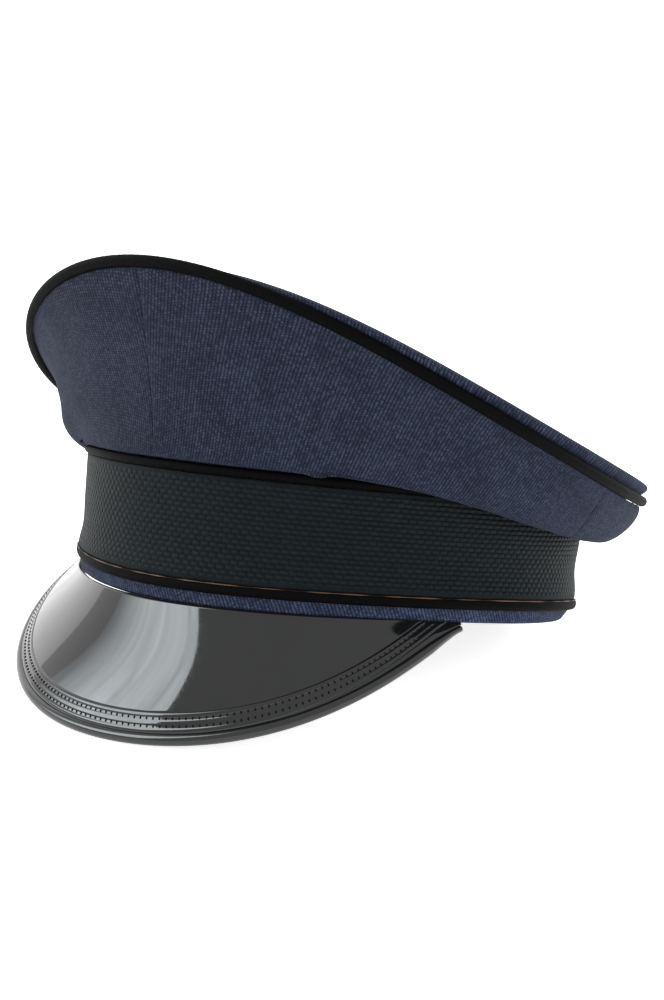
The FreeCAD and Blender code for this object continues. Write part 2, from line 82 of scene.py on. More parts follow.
SIDE_FOOT_RISE = 2.2
SIDE_FOOT_OUT = 2.2
RIM_TUCK = 0.6
LOW_POLE_OUT = (-2.3, 2.8, 1.4)
LOW_POLE_UP = (14.2, -62.8, -17.0)
HIGH_POLE_OUT = (-2.0, -12.3, 14.1)
HIGH_POLE_UP = (-10.6, -7.1, -7.5)
LOW_POLE_CORNER = (0.5, -2.5)
HIGH_POLE_CORNER = (4.9, 20.1)
CORNER_ANGLE = 58.0
CORNER_SPAN = 24.0
FRONT_FALL = 1.87

CLOTH = 1.2
CLEARANCE = 0.1
RIM_PIPING_RADIUS = 2.05
TOP_EDGE_RISE = 0.8
TOP_EDGE_ROLL = 6.2
TOP_ROLL_WIDTH = 1.6
TOP_OVERHANG = 5.2
OVERHANG_PLACE = 1.5
TOP_FRONT_FLAT = 20
TOP_DOME = 6.0
SIDE_SEAM = 92.0
LINING_DROP = 7.0
LINING_SHARE = 0.9
LINING_LAP = 3.0
SHIELD_SHARE = 0.45

UPPER_PIPING_RADIUS = 1.6
UPPER_PIPING_HALF_DEPTH = 1.3
LOWER_PIPING_RADIUS = 1.9
LOWER_PIPING_HALF_DEPTH = 1.1
LOWER_PIPING_OFFSET = -0.2
STRIP_OUTSIDE = -0.5
BASE_CLOTH_OUTSIDE = -1.4
STIFFENER_OUTSIDE = -2.4
SWEATBAND_OUTSIDE = -4.5
SWEATBAND_INSIDE = -5.6
SWEATBAND_HEIGHT = 38.0
PAD_LOW = 13.0
PAD_HIGH = 36.0
PAD_HALF_ANGLE = 45.0
STIFFENER = 1.0

VISOR_HALF_ANGLE = 69.0
VISOR_DEPTH = 51.2
VISOR_TAPER = 1.57
VISOR_FULLNESS = 0.89
VISOR_DROOP_CENTRE = 63.5
VISOR_DROOP_LOSS = 21.2
VISOR_CAMBER = 1.2
VISOR_LEAST_DEPTH = 1.0
VISOR_ROOT_DROP = 0.6
VISOR_EDGE_RADIUS = 2.0
PATENT = 0.8
VISOR_CORE = 1.2
UNDERLAY = 0.5
BINDING_MIDDLE = -0.55
BINDING_START = 1.0
BINDING_END_SHARE = 0.5
BINDING_THINNING = 20

# ---- head frame

head_mount = next(m for m in frame["record"]["mounts"] if m["name"] == "head_opening")
HEAD_PLACE = Vector(head_mount["pos_m"])
HEAD_UP = -Vector(head_mount["axis"])
HEAD_LEFT = Vector((1, 0, 0))
HEAD_BACK = HEAD_UP.cross(HEAD_LEFT)
HEAD_AXES = np.array([HEAD_LEFT, HEAD_BACK, HEAD_UP])


def place(points):
    """From the head frame in millimetres to the resting pose in metres."""
    return np.asarray(points) @ HEAD_AXES * MM + np.array(HEAD_PLACE)


def vector(forward, left, up):
    """Points in the head frame: forward is -Y, left is +X."""
    forward, left, up = np.broadcast_arrays(forward, left, up)
    return np.stack([left, -forward, up], axis=-1).astype(float)


def unit(vectors):
    """The vectors at length 1."""
    return vectors / np.maximum(np.linalg.norm(vectors, axis=-1, keepdims=True), 1e-9)


def angles(first, last, count):
    """Evenly spaced angles from degrees, in radians."""
    return np.radians(np.linspace(first, last, count))


def ease(x, low, high):
    """Smooth step from 0 at low to 1 at high."""
    k = np.clip((x - low) / (high - low), 0, 1)
    return k * k * (3 - 2 * k)


def band_edge(t):
    """Height of the band's lower edge, which rises to the front."""
    return EDGE_RISE_FRONT * np.cos(t) - EDGE_ARCH * np.cos(2 * t)


def wall_size(z):
    """Half length and half width of the band at height z."""
    k = (z - LOWER_PIPING_HEIGHT) / (BAND_TOP - LOWER_PIPING_HEIGHT)
    length = BAND_HALF_LENGTH + (BAND_TOP_HALF_LENGTH - BAND_HALF_LENGTH) * k
    width = BAND_HALF_WIDTH + (BAND_TOP_HALF_WIDTH - BAND_HALF_WIDTH) * k
    return length, width


def wall_normal(t):
    """Outward horizontal direction of the band's wall."""
    length, width = wall_size(BAND_TOP / 2)
    run_forward = -length * np.sin(t) - 3 * END_FULLNESS * np.sin(3 * t)
    run_left = width * np.cos(t) - 2 * FRONT_NARROWING * np.cos(2 * t)
    run_left -= 3 * TEMPLE_FULLNESS * np.cos(3 * t)
    return unit(vector(run_left, -run_forward, 0))


def hump(x, centre, width):
    """1 at centre, falling smoothly to 0 on both sides."""
    return np.exp(-((x - centre) / width) ** 2)


def from_front(t):
    """Angle from the front in degrees, 0 to 180 either way round."""
    return np.degrees(np.arccos(np.clip(np.cos(t), -1, 1)))


def wall_relief(t, z):
    """How far the band's wall stands out from its straight shape."""
    k = (z - LOWER_PIPING_HEIGHT) / (BAND_TOP - LOWER_PIPING_HEIGHT)
    front = (1 + np.cos(t)) / 2
    relief = FRONT_BULGE * front * hump(k, BULGE_PLACE, BULGE_SPAN)
    relief = relief - REAR_WAIST * (1 - front) * hump(k, WAIST_PLACE, WAIST_SPAN)
    below = np.clip(1 - (z - band_edge(t)) / LOWER_PIPING_HEIGHT, 0, 1.2)
    return relief - REAR_TUCK * ease(from_front(t), TUCK_START, TUCK_END) * below


def wall(t, z, offset):
    """Points on the band's wall at height z, moved outwards by offset."""
    length, width = wall_size(z)
    forward = length * np.cos(t) + END_FULLNESS * np.cos(3 * t)
    left = width * np.sin(t) - FRONT_NARROWING * np.sin(2 * t) - TEMPLE_FULLNESS * np.sin(3 * t)
    out = offset + wall_relief(t, z)
    return vector(forward, left, z) + wall_normal(t) * np.expand_dims(out, -1)


def rim_outward(t):
    """Outward horizontal direction at the crown's rim."""
    run_forward = -RIM_HALF_LENGTH * np.sin(t) - 2 * RIM_BLUNT_FRONT * np.sin(2 * t)
    run_left = RIM_HALF_WIDTH * np.cos(t)
    return unit(vector(run_left, -run_forward, 0))


def rim(t, outward, up):
    """Points beside the crown's rim line, moved outwards and up."""
    forward = RIM_CENTRE_FORWARD + RIM_HALF_LENGTH * np.cos(t) + RIM_BLUNT_FRONT * np.cos(2 * t)
    waves = enumerate(RIM_WAVES, start=1)
    height = RIM_HEIGHT + sum(wave * np.cos(i * t) for i, wave in waves)
    return vector(forward, RIM_HALF_WIDTH * np.sin(t), height + up) + rim_outward(t) * outward


def edge_roll(t, s):
    """How far the top's edge has climbed beside the piping, and how far it leans over it."""
    away_from_front = 1 - ((1 + s * np.cos(t)) / 2) ** TOP_FRONT_FLAT
    inward = np.maximum((1 - s) * RIM_HALF_WIDTH - RIM_PIPING_RADIUS - CLEARANCE, 0)
    climb = TOP_EDGE_ROLL * (1 - np.exp(-inward / TOP_ROLL_WIDTH))
    over = TOP_OVERHANG * inward / OVERHANG_PLACE * np.exp(1 - inward / OVERHANG_PLACE)
    return climb * away_from_front, over * away_from_front


def top(t, s):
    """Outer surface of the crown's top: s is 0 at the centre and 1 at the rim."""
    forward = RIM_CENTRE_FORWARD + s * RIM_HALF_LENGTH * np.cos(t)
    forward = forward + s ** 2 * RIM_BLUNT_FRONT * np.cos(2 * t)
    height = RIM_HEIGHT + TOP_EDGE_RISE + TOP_DOME * (1 - s ** 2)
    waves = enumerate(RIM_WAVES, start=1)
    height = height + sum(wave * s ** i * np.cos(i * t) for i, wave in waves)
    climb, over = edge_roll(t, s)
    lifted = vector(forward, s * RIM_HALF_WIDTH * np.sin(t), height + climb)
    return lifted + rim_outward(t) * over[..., None]


def blend_round(t, values, corner):
    """Value that changes smoothly round the head, with an extra amount at the corners."""
    front, side, back = values
    share = ((1 + np.cos(t)) / 2) ** FRONT_FALL
    back_share = ((1 - np.cos(t)) / 2) ** 2
    extra = corner * hump(from_front(t), CORNER_ANGLE, CORNER_SPAN)
    return front * share + (1 - share) * (side * (1 - back_share) + back * back_share) + extra


def crown_side(t, q):
    """Outer surface of the crown's side: q is 0 at the band and 1 at the rim."""
    foot = wall(t, BAND_TOP + SIDE_FOOT_RISE, SIDE_FOOT_OUT)
    head = rim(t, -RIM_TUCK, -RIM_PIPING_RADIUS - CLEARANCE)
    across = (head - foot) * np.array([1, 1, 0])
    reach = np.linalg.norm(across, axis=-1)
    rise = (head - foot)[..., 2]
    low_out = blend_round(t, LOW_POLE_OUT, LOW_POLE_CORNER[0])
    low_up = blend_round(t, LOW_POLE_UP, LOW_POLE_CORNER[1])
    high_out = blend_round(t, HIGH_POLE_OUT, HIGH_POLE_CORNER[0])
    high_up = blend_round(t, HIGH_POLE_UP, HIGH_POLE_CORNER[1])
    out_poles = [0, low_out, reach + high_out, reach]
    up_poles = [0, low_up, rise + high_up, rise]
    weights = [(1 - q) ** 3, 3 * q * (1 - q) ** 2, 3 * q * q * (1 - q), q ** 3]
    out = sum(w * p for w, p in zip(weights, out_poles))
    up = sum(w * p for w, p in zip(weights, up_poles))
    return foot + unit(across) * out[..., None] + vector(0, 0, up)


# ---- mesh building

def distances(points, axis):
    """Distance run along one way of a grid of points, averaged over the other way."""
    steps = np.linalg.norm(np.diff(points, axis=axis), axis=-1).mean(axis=1 - axis)
    return np.concatenate([[0], np.cumsum(steps)])


def grid_normals(points):
    """Unit normals of a grid of points."""
    return unit(np.cross(np.gradient(points, axis=0), np.gradient(points, axis=1)))


def sheet_mesh(name, points, uv, closed_u=False, closed_v=False):
    """Mesh of quads over a grid of points in metres.

    A closed way of the grid ends with a copy of its first row, which is welded to it.
    """
    rows, columns = points.shape[:2]
    used_rows = rows - 1 if closed_u else rows
    used_columns = columns - 1 if closed_v else columns
    i, j = np.meshgrid(np.arange(rows - 1), np.arange(columns - 1), indexing="ij")
    i, j = i.ravel(), j.ravel()
    corners = [(i, j), (i + 1, j), (i + 1, j + 1), (i, j + 1)]
    numbers = [(a % used_rows) * used_columns + b % used_columns for a, b in corners]
    faces = np.stack(numbers, axis=1)
    loop_uv = np.stack([uv[a, b] for a, b in corners], axis=1)
    mesh = bpy.data.meshes.new(name)
    vertices = points[:used_rows, :used_columns].reshape(-1, 3)
    mesh.from_pydata(vertices.tolist(), [], faces.tolist())
    layer = mesh.uv_layers.new(name="surface")
    layer.uv.foreach_set("vector", loop_uv.reshape(-1).astype(np.float32))
    return mesh


def grid_mesh(name, points, material, closed_u=False, closed_v=False, uv=None):
    """Smooth piece from a grid of points in the head frame, with UVs in metres of surface."""
    if uv is None:
        u, v = np.meshgrid(distances(points, 0), distances(points, 1), indexing="ij")
        uv = np.stack([u, v], axis=-1)
    mesh = sheet_mesh(name, place(points), uv * MM, closed_u, closed_v)
    return finish_mesh(name, mesh, material)


def add_object(name, data):
    """New object in the scene."""
    made = bpy.data.objects.new(name, data)
    bpy.context.scene.collection.objects.link(made)
    return made


def finish_mesh(name, mesh, material):
    """Piece from a mesh: shaded smooth, with its material, moving with the cap."""
    mesh.shade_smooth()
    mesh.materials.append(material)
    piece = add_object(name, mesh)
    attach(piece, "root")
    return piece


def thicken(piece, thickness):
    """Gives a sheet its thickness on its inner side."""
    modifier = piece.modifiers.new("thickness", "SOLIDIFY")
    modifier.thickness = thickness * MM
    modifier.offset = -1.0
    return piece


def swept(name, path, outward, profile, material, scale, closed=True):
    """Piece with a closed profile of (outward, upward) points carried along a path.

    outward is the profile's first direction at each point of the path, and scale its size there.
    """
    if closed:
        run = np.roll(path[:-1], -1, axis=0) - np.roll(path[:-1], 1, axis=0)
        run = np.concatenate([run, run[:1]])
    else:
        run = np.gradient(path, axis=0)
    run = unit(run)
    side = unit(outward - run * (outward * run).sum(-1, keepdims=True))
    up = np.cross(run, side)
    up = up * np.sign(up[:, 2:3])
    sized = profile * scale[:, None, None]
    points = path[:, None] + sized[..., :1] * side[:, None] + sized[..., 1:] * up[:, None]
    return grid_mesh(name, points, material, closed, True)


def round_profile(radius_out, radius_up, sides=28):
    """Closed oval profile."""
    a = np.linspace(0, 2 * np.pi, sides + 1)
    return np.stack([radius_out * np.cos(a), -radius_up * np.sin(a)], axis=-1)


THREAD_ARCH = 1.2
THREAD_RINGS = 7
THREAD_SIDES = 8


def thread_row(name, path, normal, material, pitch, length, radius, sink=0.0):
    """Row of stitches that follows a path on a surface, each a short arched thread."""
    steps = np.linalg.norm(np.diff(path, axis=0), axis=1)
    travel = np.concatenate([[0], np.cumsum(steps)])
    count = int(travel[-1] / pitch)
    places = (np.arange(count) + 0.5) * travel[-1] / count
    rings, sides = THREAD_RINGS, THREAD_SIDES
    vertices, faces = [], []
    for number, middle in enumerate(places):
        reach = np.linspace(-0.5, 0.5, rings) * length
        at = np.stack([np.interp(middle + reach, travel, path[:, k]) for k in range(3)], axis=-1)
        up = unit(np.stack([np.interp(middle, travel, normal[:, k]) for k in range(3)]))
        along = unit(at[-1] - at[0])
        side = np.cross(along, up)
        arch = np.cos(np.linspace(-0.5, 0.5, rings) * np.pi)
        thick = radius * np.sqrt(np.clip(1 - np.linspace(-0.97, 0.97, rings) ** 2, 0, 1))
        turn = np.linspace(0, 2 * np.pi, sides, endpoint=False)
        for k in range(rings):
            centre = at[k] + up * (arch[k] * radius * THREAD_ARCH - sink)
            ring = centre + thick[k] * (np.cos(turn)[:, None] * side + np.sin(turn)[:, None] * up)
            vertices.append(ring)
        base = number * rings * sides
        for k in range(rings - 1):
            for m in range(sides):
                a = base + k * sides + m
                b = base + k * sides + (m + 1) % sides
                faces.append((a, b, b + sides, a + sides))
        faces.append([base + m for m in range(sides)][::-1])
        faces.append([base + (rings - 1) * sides + m for m in range(sides)])
    mesh = bpy.data.meshes.new(name)
    mesh.from_pydata(place(np.concatenate(vertices)).tolist(), [], faces)
    return finish_mesh(name, mesh, material)


# ---- materials

def linear(red, green, blue):
    """Shader colour from screen values of 0 to 255."""
    return tuple(((c / 255 + 0.055) / 1.055) ** 2.4 if c > 10 else c / 255 / 12.92
                 for c in (red, green, blue)) + (1.0,)


WOOL_RIB = 0.0012
WOOL_BEAD = 0.00078
WOOL_STAGGER = 0.382
BRAID_ROW = 0.00185
BRAID_FLOAT = 0.0031
BRAID_RIB = 0.0007
LOW_SELVEDGE = 0.0024
HIGH_SELVEDGE = 0.002
BIAS_THREAD = 0.0006
SATIN_LINE = 0.0005


class Paint:
    """A material's node tree, with short ways to add nodes to it."""

    def __init__(self, name):
        self.material = bpy.data.materials.new(name)
        self.material.use_nodes = True
        self.tree = self.material.node_tree
        self.shader = self.tree.nodes["Principled BSDF"]

    def set(self, **values):
        """Sets the shader's own sockets; underscores stand for spaces."""
        for key, value in values.items():
            self.join(value, self.shader.inputs[key.replace("_", " ")])

    def join(self, value, socket):
        """Links a socket to another, or gives it a value."""
        if isinstance(value, bpy.types.NodeSocket):
            self.tree.links.new(value, socket)
        else:
            socket.default_value = value

    def node(self, kind, inputs=(), **settings):
        """New node with its inputs and settings."""
        made = self.tree.nodes.new(kind)
        for key, value in settings.items():
            setattr(made, key, value)
        for key, value in dict(inputs).items():
            self.join(value, made.inputs[key])
        return made

    def math(self, operation, first, second=0.5, third=0.5):
        made = self.node("ShaderNodeMath", {0: first, 1: second, 2: third}, operation=operation)
        return made.outputs[0]

    def times(self, first, second):
        return self.math("MULTIPLY", first, second)

    def plus(self, first, second):
        return self.math("ADD", first, second)

    def scaled(self, value, factor, added):
        """Value times a factor, plus something."""
        return self.math("MULTIPLY_ADD", value, factor, added)

    def spread(self, value, low, high, to_low=0.0, to_high=1.0):
        """Value from one range to another, held at its ends."""
        made = self.node("ShaderNodeMapRange", {
            "Value": value, "From Min": low, "From Max": high, "To Min": to_low, "To Max": to_high})
        return made.outputs["Result"]

    def mix(self, share, first, second):
        """Colour between two screen colours."""
        colours = {0: share, 6: linear(*first), 7: linear(*second)}
        return self.node("ShaderNodeMix", colours, data_type="RGBA").outputs[2]

    def noise(self, where, scale, detail=2.0, roughness=0.5):
        made = self.node("ShaderNodeTexNoise", {
            "Vector": where, "Scale": scale, "Detail": detail, "Roughness": roughness})
        return made.outputs["Fac"]

    def surface_place(self):
        """Place on the surface in metres, from the piece's UVs."""
        return self.node("ShaderNodeTexCoord").outputs["UV"]

    def solid_place(self):
        """Place in space in metres."""
        return self.node("ShaderNodeTexCoord").outputs["Object"]

    def turned(self, where, angle):
        """Two coordinates of a place turned about its own origin."""
        made = self.node("ShaderNodeMapping", {"Vector": where, "Rotation": (0, 0, angle)})
        split = self.node("ShaderNodeSeparateXYZ", {0: made.outputs[0]})
        return split.outputs[0], split.outputs[1]

    def joined(self, x, y):
        return self.node("ShaderNodeCombineXYZ", {0: x, 1: y}).outputs[0]

    def arch(self, value):
        """Smooth hump over each whole step of a value."""
        turn = self.times(self.math("FRACT", value), math.pi)
        return self.math("SINE", turn)

    def bump(self, height, distance, strength=1.0):
        made = self.node("ShaderNodeBump", {
            "Height": height, "Distance": distance, "Strength": strength})
        return made.outputs[0]


def wool_cloth(name, lean, lightness=0.92):
    """Heathered whipcord: steep twill ribs, each beaded with short flecks of lighter wool."""
    p = Paint(name)
    across, along = p.turned(p.surface_place(), lean)
    wander = p.noise(p.joined(across, along), 350.0, 2.0)
    across = p.plus(across, p.times(wander, 0.0005))
    ribs = p.times(across, 1 / WOOL_RIB)
    rib_number = p.math("FLOOR", ribs)
    rib = p.math("POWER", p.arch(ribs), 0.8)
    stagger = p.times(rib_number, WOOL_STAGGER)
    beads = p.plus(p.times(along, 1 / WOOL_BEAD), stagger)
    bead = p.arch(beads)
    cell = p.node("ShaderNodeTexWhiteNoise", {
        "Vector": p.joined(rib_number, p.math("FLOOR", beads))}, noise_dimensions="2D")
    fleck = cell.outputs["Value"]
    relief = p.times(rib, p.scaled(bead, 0.5, 0.5))
    cloud = p.noise(p.surface_place(), 60.0, 3.0, 0.6)
    fuzz = p.noise(p.surface_place(), 2200.0, 3.0, 0.7)
    # relief lightens the crowns of the ribs and beads and darkens the hollows between them: the
    # darkening is painted shade, while fleck, fuzz and cloud give the wool's own heathered tone.
    shade = p.scaled(fleck, 0.22, p.times(relief, 0.50))
    shade = p.plus(shade, p.scaled(fuzz, 1.0, -0.47))
    shade = p.plus(shade, p.scaled(cloud, 0.3, -0.15))
    body = p.node("ShaderNodeValToRGB", {"Fac": shade})
    stops = body.color_ramp.elements
    stops[0].position, stops[1].position = 0.05, 0.95
    stops.new(0.45)
    # lightness scales the whole colour; the strip's copy is set lighter than the rest as painted
    # light, to make up for the shade it sits in.
    for stop, colour in zip(stops, ((9, 12, 22), (30, 36, 52), (72, 79, 99))):
        stop.color = linear(*(c * lightness for c in colour))
    p.set(Base_Color=body.outputs[0], Roughness=0.92, Normal=p.bump(relief, 0.00020, 0.7))
    p.set(Specular_IOR_Level=0.1, Sheen_Weight=0.04, Sheen_Roughness=0.5)
    p.set(Sheen_Tint=linear(170, 180, 205))
    return p.material


def mohair_braid(name, low, high):
    """Ribbed mohair braid of staggered flat floats, with a finely ribbed selvedge at its edges."""
    p = Paint(name)
    place_on = p.surface_place()
    split = p.node("ShaderNodeSeparateXYZ", {0: place_on})
    wander = p.noise(place_on, 120.0, 2.0)
    along = p.scaled(wander, 0.0008, split.outputs[0])
    height = p.scaled(wander, 0.0005, split.outputs[1])
    rows = p.times(height, 1 / BRAID_ROW)
    row_number = p.math("FLOOR", rows)
    half_step = p.math("FRACT", p.times(row_number, 0.5))
    floats = p.plus(p.times(along, 1 / BRAID_FLOAT), half_step)
    float_number = p.math("FLOOR", floats)
    lens = p.times(p.arch(floats), p.arch(rows))
    lens = p.math("POWER", lens, 0.9)
    fine = p.arch(p.times(along, 1 / BRAID_RIB))
    edge = p.math("MAXIMUM",
                  p.math("LESS_THAN", split.outputs[1], low + LOW_SELVEDGE),
                  p.math("GREATER_THAN", split.outputs[1], high - HIGH_SELVEDGE))
    selvedge = p.times(fine, 0.5)
    relief = p.node("ShaderNodeMix", {0: edge, 2: lens, 3: selvedge}).outputs[0]
    cell = p.node("ShaderNodeTexWhiteNoise", {
        "Vector": p.joined(float_number, row_number)}, noise_dimensions="2D").outputs["Value"]
    hairs = p.noise(p.joined(p.times(along, 0.25), height), 4000.0, 2.0, 0.6)
    # The raised floats and selvedge ribs are painted lighter and the gaps between them darker:
    # painted sheen and painted shade, on top of the mohair's own tone from cell and hairs.
    shade = p.scaled(cell, 0.15, p.times(relief, 0.6))
    shade = p.plus(shade, p.scaled(hairs, 0.5, -0.2))
    colour = p.mix(shade, (2, 4, 6), (21, 30, 33))
    p.set(Base_Color=colour, Roughness=0.62, Normal=p.bump(relief, 0.0005, 1.0))
    p.set(Specular_IOR_Level=0.08, Sheen_Weight=0.02, Sheen_Roughness=0.35)
    p.set(Sheen_Tint=linear(150, 170, 170))
    return p.material


def piping_cloth(name):
    """Black satin-faced piping cut on the bias."""
    p = Paint(name)
    across, along = p.turned(p.surface_place(), math.radians(45))
    warp = p.arch(p.times(across, 1 / BIAS_THREAD))
    weave = p.times(warp, p.arch(p.times(along, 1 / BIAS_THREAD)))
    fuzz = p.noise(p.surface_place(), 1800.0, 3.0, 0.6)
    shade = p.scaled(fuzz, 0.6, p.times(weave, 0.4))
    p.set(Base_Color=p.mix(shade, (2, 2, 3), (7, 7, 8)))
    p.set(Roughness=p.spread(fuzz, 0.2, 0.8, 0.5, 0.75), Normal=p.bump(weave, 0.00012, 0.7))
    p.set(Specular_IOR_Level=0.03)
    return p.material


def patent_leather(name, colour, dull=0.04):
    """Black varnished leather, very slightly wavy, with faint scuffs and dust."""
    p = Paint(name)
    where = p.solid_place()
    wave = p.noise(where, 45.0, 2.0)
    scuff = p.noise(where, 900.0, 4.0, 0.7)
    dust = p.noise(where, 2600.0, 1.0)
    tone = p.spread(p.noise(where, 25.0, 3.0), 0.3, 0.7)
    p.set(Base_Color=p.mix(tone, colour, [c + 7 for c in colour]))
    p.set(Roughness=p.spread(scuff, 0.45, 0.85, dull, dull + 0.10))
    p.set(Normal=p.bump(p.plus(wave, p.times(dust, 0.01)), 0.0006, 0.06))
    p.set(IOR=1.5)
    return p.material


def grained_leather(name, dark, light, grain, roughness):
    """Leather with a pebble grain."""
    p = Paint(name)
    where = p.solid_place()
    cells = p.node("ShaderNodeTexVoronoi", {"Vector": where, "Scale": 1 / grain},
                   feature="SMOOTH_F1").outputs["Distance"]
    mottle = p.noise(where, 90.0, 4.0, 0.6)
    pores = p.noise(where, 1500.0, 2.0)
    shade = p.scaled(mottle, 0.9, p.scaled(pores, 0.3, -0.15))
    p.set(Base_Color=p.mix(shade, dark, light))
    p.set(Roughness=p.spread(mottle, 0.3, 0.7, roughness - 0.08, roughness + 0.08))
    p.set(Normal=p.bump(cells, grain * 0.25, 0.8))
    return p.material


def satin_lining(name, dark, light):
    """Thin satin with fine diagonal lines and long soft slubs."""
    p = Paint(name)
    across, along = p.turned(p.surface_place(), math.radians(38))
    lines = p.arch(p.times(across, 1 / SATIN_LINE))
    slub = p.noise(p.joined(p.times(across, 8.0), along), 260.0, 2.0)
    shade = p.scaled(slub, 0.8, p.times(lines, 0.2))
    p.set(Base_Color=p.mix(shade, dark, light))
    p.set(Roughness=p.spread(slub, 0.3, 0.7, 0.32, 0.48), Normal=p.bump(lines, 0.00008, 0.6))
    p.set(Sheen_Weight=0.2, Sheen_Roughness=0.3)
    return p.material


def clear_sheet(name):
    """Clear flexible plastic with slight ripples."""
    p = Paint(name)
    ripple = p.noise(p.solid_place(), 60.0, 3.0)
    haze = p.noise(p.solid_place(), 400.0, 3.0)
    p.set(Base_Color=p.mix(haze, (236, 240, 240), (250, 252, 252)))
    p.set(Roughness=p.spread(haze, 0.3, 0.7, 0.06, 0.16), Normal=p.bump(ripple, 0.001, 0.4))
    p.set(Transmission_Weight=0.95, IOR=1.3)
    return p.material


def spring_steel(name):
    """Drawn steel wire with lengthwise lines."""
    p = Paint(name)
    where = p.solid_place()
    lines = p.noise(where, 1200.0, 3.0, 0.7)
    tarnish = p.noise(where, 140.0, 3.0)
    p.set(Base_Color=p.mix(tarnish, (150, 150, 148), (196, 196, 194)), Metallic=1.0)
    p.set(Roughness=p.spread(lines, 0.3, 0.7, 0.25, 0.45), Normal=p.bump(lines, 0.00005, 0.5))
    return p.material


def pressed_fibre(name, dark, light):
    """Fibre board, felt or foam with short random fibres."""
    p = Paint(name)
    where = p.solid_place()
    fibre = p.noise(where, 1600.0, 4.0, 0.75)
    cloud = p.noise(where, 120.0, 3.0)
    shade = p.scaled(fibre, 0.7, p.times(cloud, 0.3))
    p.set(Base_Color=p.mix(shade, dark, light))
    p.set(Roughness=p.spread(cloud, 0.3, 0.7, 0.8, 0.95), Normal=p.bump(fibre, 0.0002, 0.6))
    return p.material


def sewing_thread(name, dark, light, shine=0.5):
    """Twisted thread with a little shine."""
    p = Paint(name)
    twist = p.noise(p.solid_place(), 3500.0, 1.0)
    p.set(Base_Color=p.mix(twist, dark, light))
    p.set(Roughness=p.spread(twist, 0.3, 0.7, 0.4, 0.6), Normal=p.bump(twist, 0.0001, 0.6))
    p.set(Specular_IOR_Level=shine)
    return p.material


def floor_paper(name):
    """Matt white studio paper."""
    p = Paint(name)
    tooth = p.noise(p.solid_place(), 700.0, 3.0)
    p.set(Base_Color=p.mix(tooth, (247, 247, 247), (252, 252, 252)))
    p.set(Roughness=0.9, Normal=p.bump(tooth, 0.0001, 0.2), Specular_IOR_Level=0.1)
    p.set(Emission_Color=(1, 1, 1, 1), Emission_Strength=0.8)
    return p.material


TWILL_LEAN = math.radians(9)
cloth_left = wool_cloth("wool_cloth_left", TWILL_LEAN)
cloth_right = wool_cloth("wool_cloth_right", -TWILL_LEAN)
cloth_top = wool_cloth("wool_cloth_top", math.radians(35))
# The strip's cloth is painted lighter than the other cloth: painted light against the shade below
# the braid and crown.
cloth_strip = wool_cloth("wool_cloth_strip", math.radians(20), 1.15)
piping = piping_cloth("piping_black")
patent = patent_leather("patent_black", (10, 11, 12))
patent_edge = patent_leather("patent_edge_black", (14, 15, 15), 0.12)
underside = grained_leather("visor_underside", (16, 17, 17), (34, 35, 34), 0.0011, 0.55)
sweat_leather = grained_leather("sweatband_leather", (58, 40, 28), (104, 76, 52), 0.0016, 0.5)
lining = satin_lining("lining_satin", (26, 29, 38), (62, 68, 84))
clear = clear_sheet("clear_shield")
steel = spring_steel("spring_steel")
board = pressed_fibre("stiffener_board", (120, 104, 80), (176, 160, 132))
felt = pressed_fibre("interlining_felt", (60, 60, 62), (112, 112, 114))
foam = pressed_fibre("pad_foam", (44, 44, 46), (84, 84, 86))
tape = satin_lining("back_tape", (30, 26, 22), (66, 58, 50))
visor_thread = sewing_thread("thread_waxed_black", (1, 1, 1), (6, 6, 6), 0.08)
gold_thread = sewing_thread("thread_gold_brown", (44, 27, 8), (96, 62, 20))
brown_thread = sewing_thread("thread_brown", (70, 50, 34), (120, 92, 64))

# ---- crown cloth

FACE_COLUMNS = 200
FACE_ROWS = 76
DISC_CROWDING = 1.8
SEAM_SPREAD = 1.9
SEAM_SINK = -0.14
SEAM_WIDTH = 0.8
SEAM_RIDGE = 0.10
RIDGE_PLACE = 3.4
RIDGE_WIDTH = 1.9
SHOULDER_ANGLE = -54.0
SHOULDER_SPAN = 20.0
SHOULDER = ((2.2, 0.36, 0.08), (-1.2, 0.62, 0.10), (-1.2, 0.19, 0.07))
SLACK = ((0.30, 5.0, 2.1, 0.0), (0.22, 11.0, -3.7, 1.0))
FINE_SLACK = (0.10, 23.0, 1.3)
PUCKER = 0.10
PUCKERS = 72.0
PUCKER_REACH = 0.05


def crown_panel(name, first, last, material):
    """One side panel of the crown, sunk at its seams and slightly uneven.

    SHOULDER is a bulge with a hollow above and below it: height, place and width of each.
    """
    t = angles(first, last, FACE_COLUMNS)[:, None]
    q = np.linspace(0, 1, FACE_ROWS)[None, :] + 0 * t
    t = t + 0 * q
    points = crown_side(t, q)
    outward = grid_normals(points)
    nearest = np.minimum(np.abs(t - t[0, 0]), np.abs(t - t[-1, 0]))
    from_seam = np.degrees(nearest) * SEAM_SPREAD
    sink = SEAM_SINK * hump(from_seam, 0, SEAM_WIDTH)
    ridge = SEAM_RIDGE * hump(from_seam, RIDGE_PLACE, RIDGE_WIDTH)
    shoulder = sum(height * hump(q, place_up, width) for height, place_up, width in SHOULDER)
    shoulder = shoulder * hump(np.degrees(t), SHOULDER_ANGLE, SHOULDER_SPAN)
    free = np.sin(np.pi * q)
    slack = sum(size * np.sin(turns * t + climb * q + start) for size, turns, climb, start in SLACK)
    size, turns, start = FINE_SLACK
    slack = slack + size * np.sin(turns * t + start)
    pucker = PUCKER * np.sin(PUCKERS * t) * hump(q, 1, PUCKER_REACH)
    lift = sink + ridge + slack * free + pucker + shoulder
    points = points + outward * lift[..., None]
    return thicken(grid_mesh(name, points, material), CLOTH)


def disc_grid(count):
    """Square grid laid over a round disc: angle and share of the radius."""
    a, b = np.meshgrid(np.linspace(-1, 1, count), np.linspace(-1, 1, count), indexing="ij")
    x = a * np.sqrt(1 - b * b / 2)
    y = b * np.sqrt(1 - a * a / 2)
    return np.arctan2(y, x), np.clip(np.hypot(x, y), 0, 1)


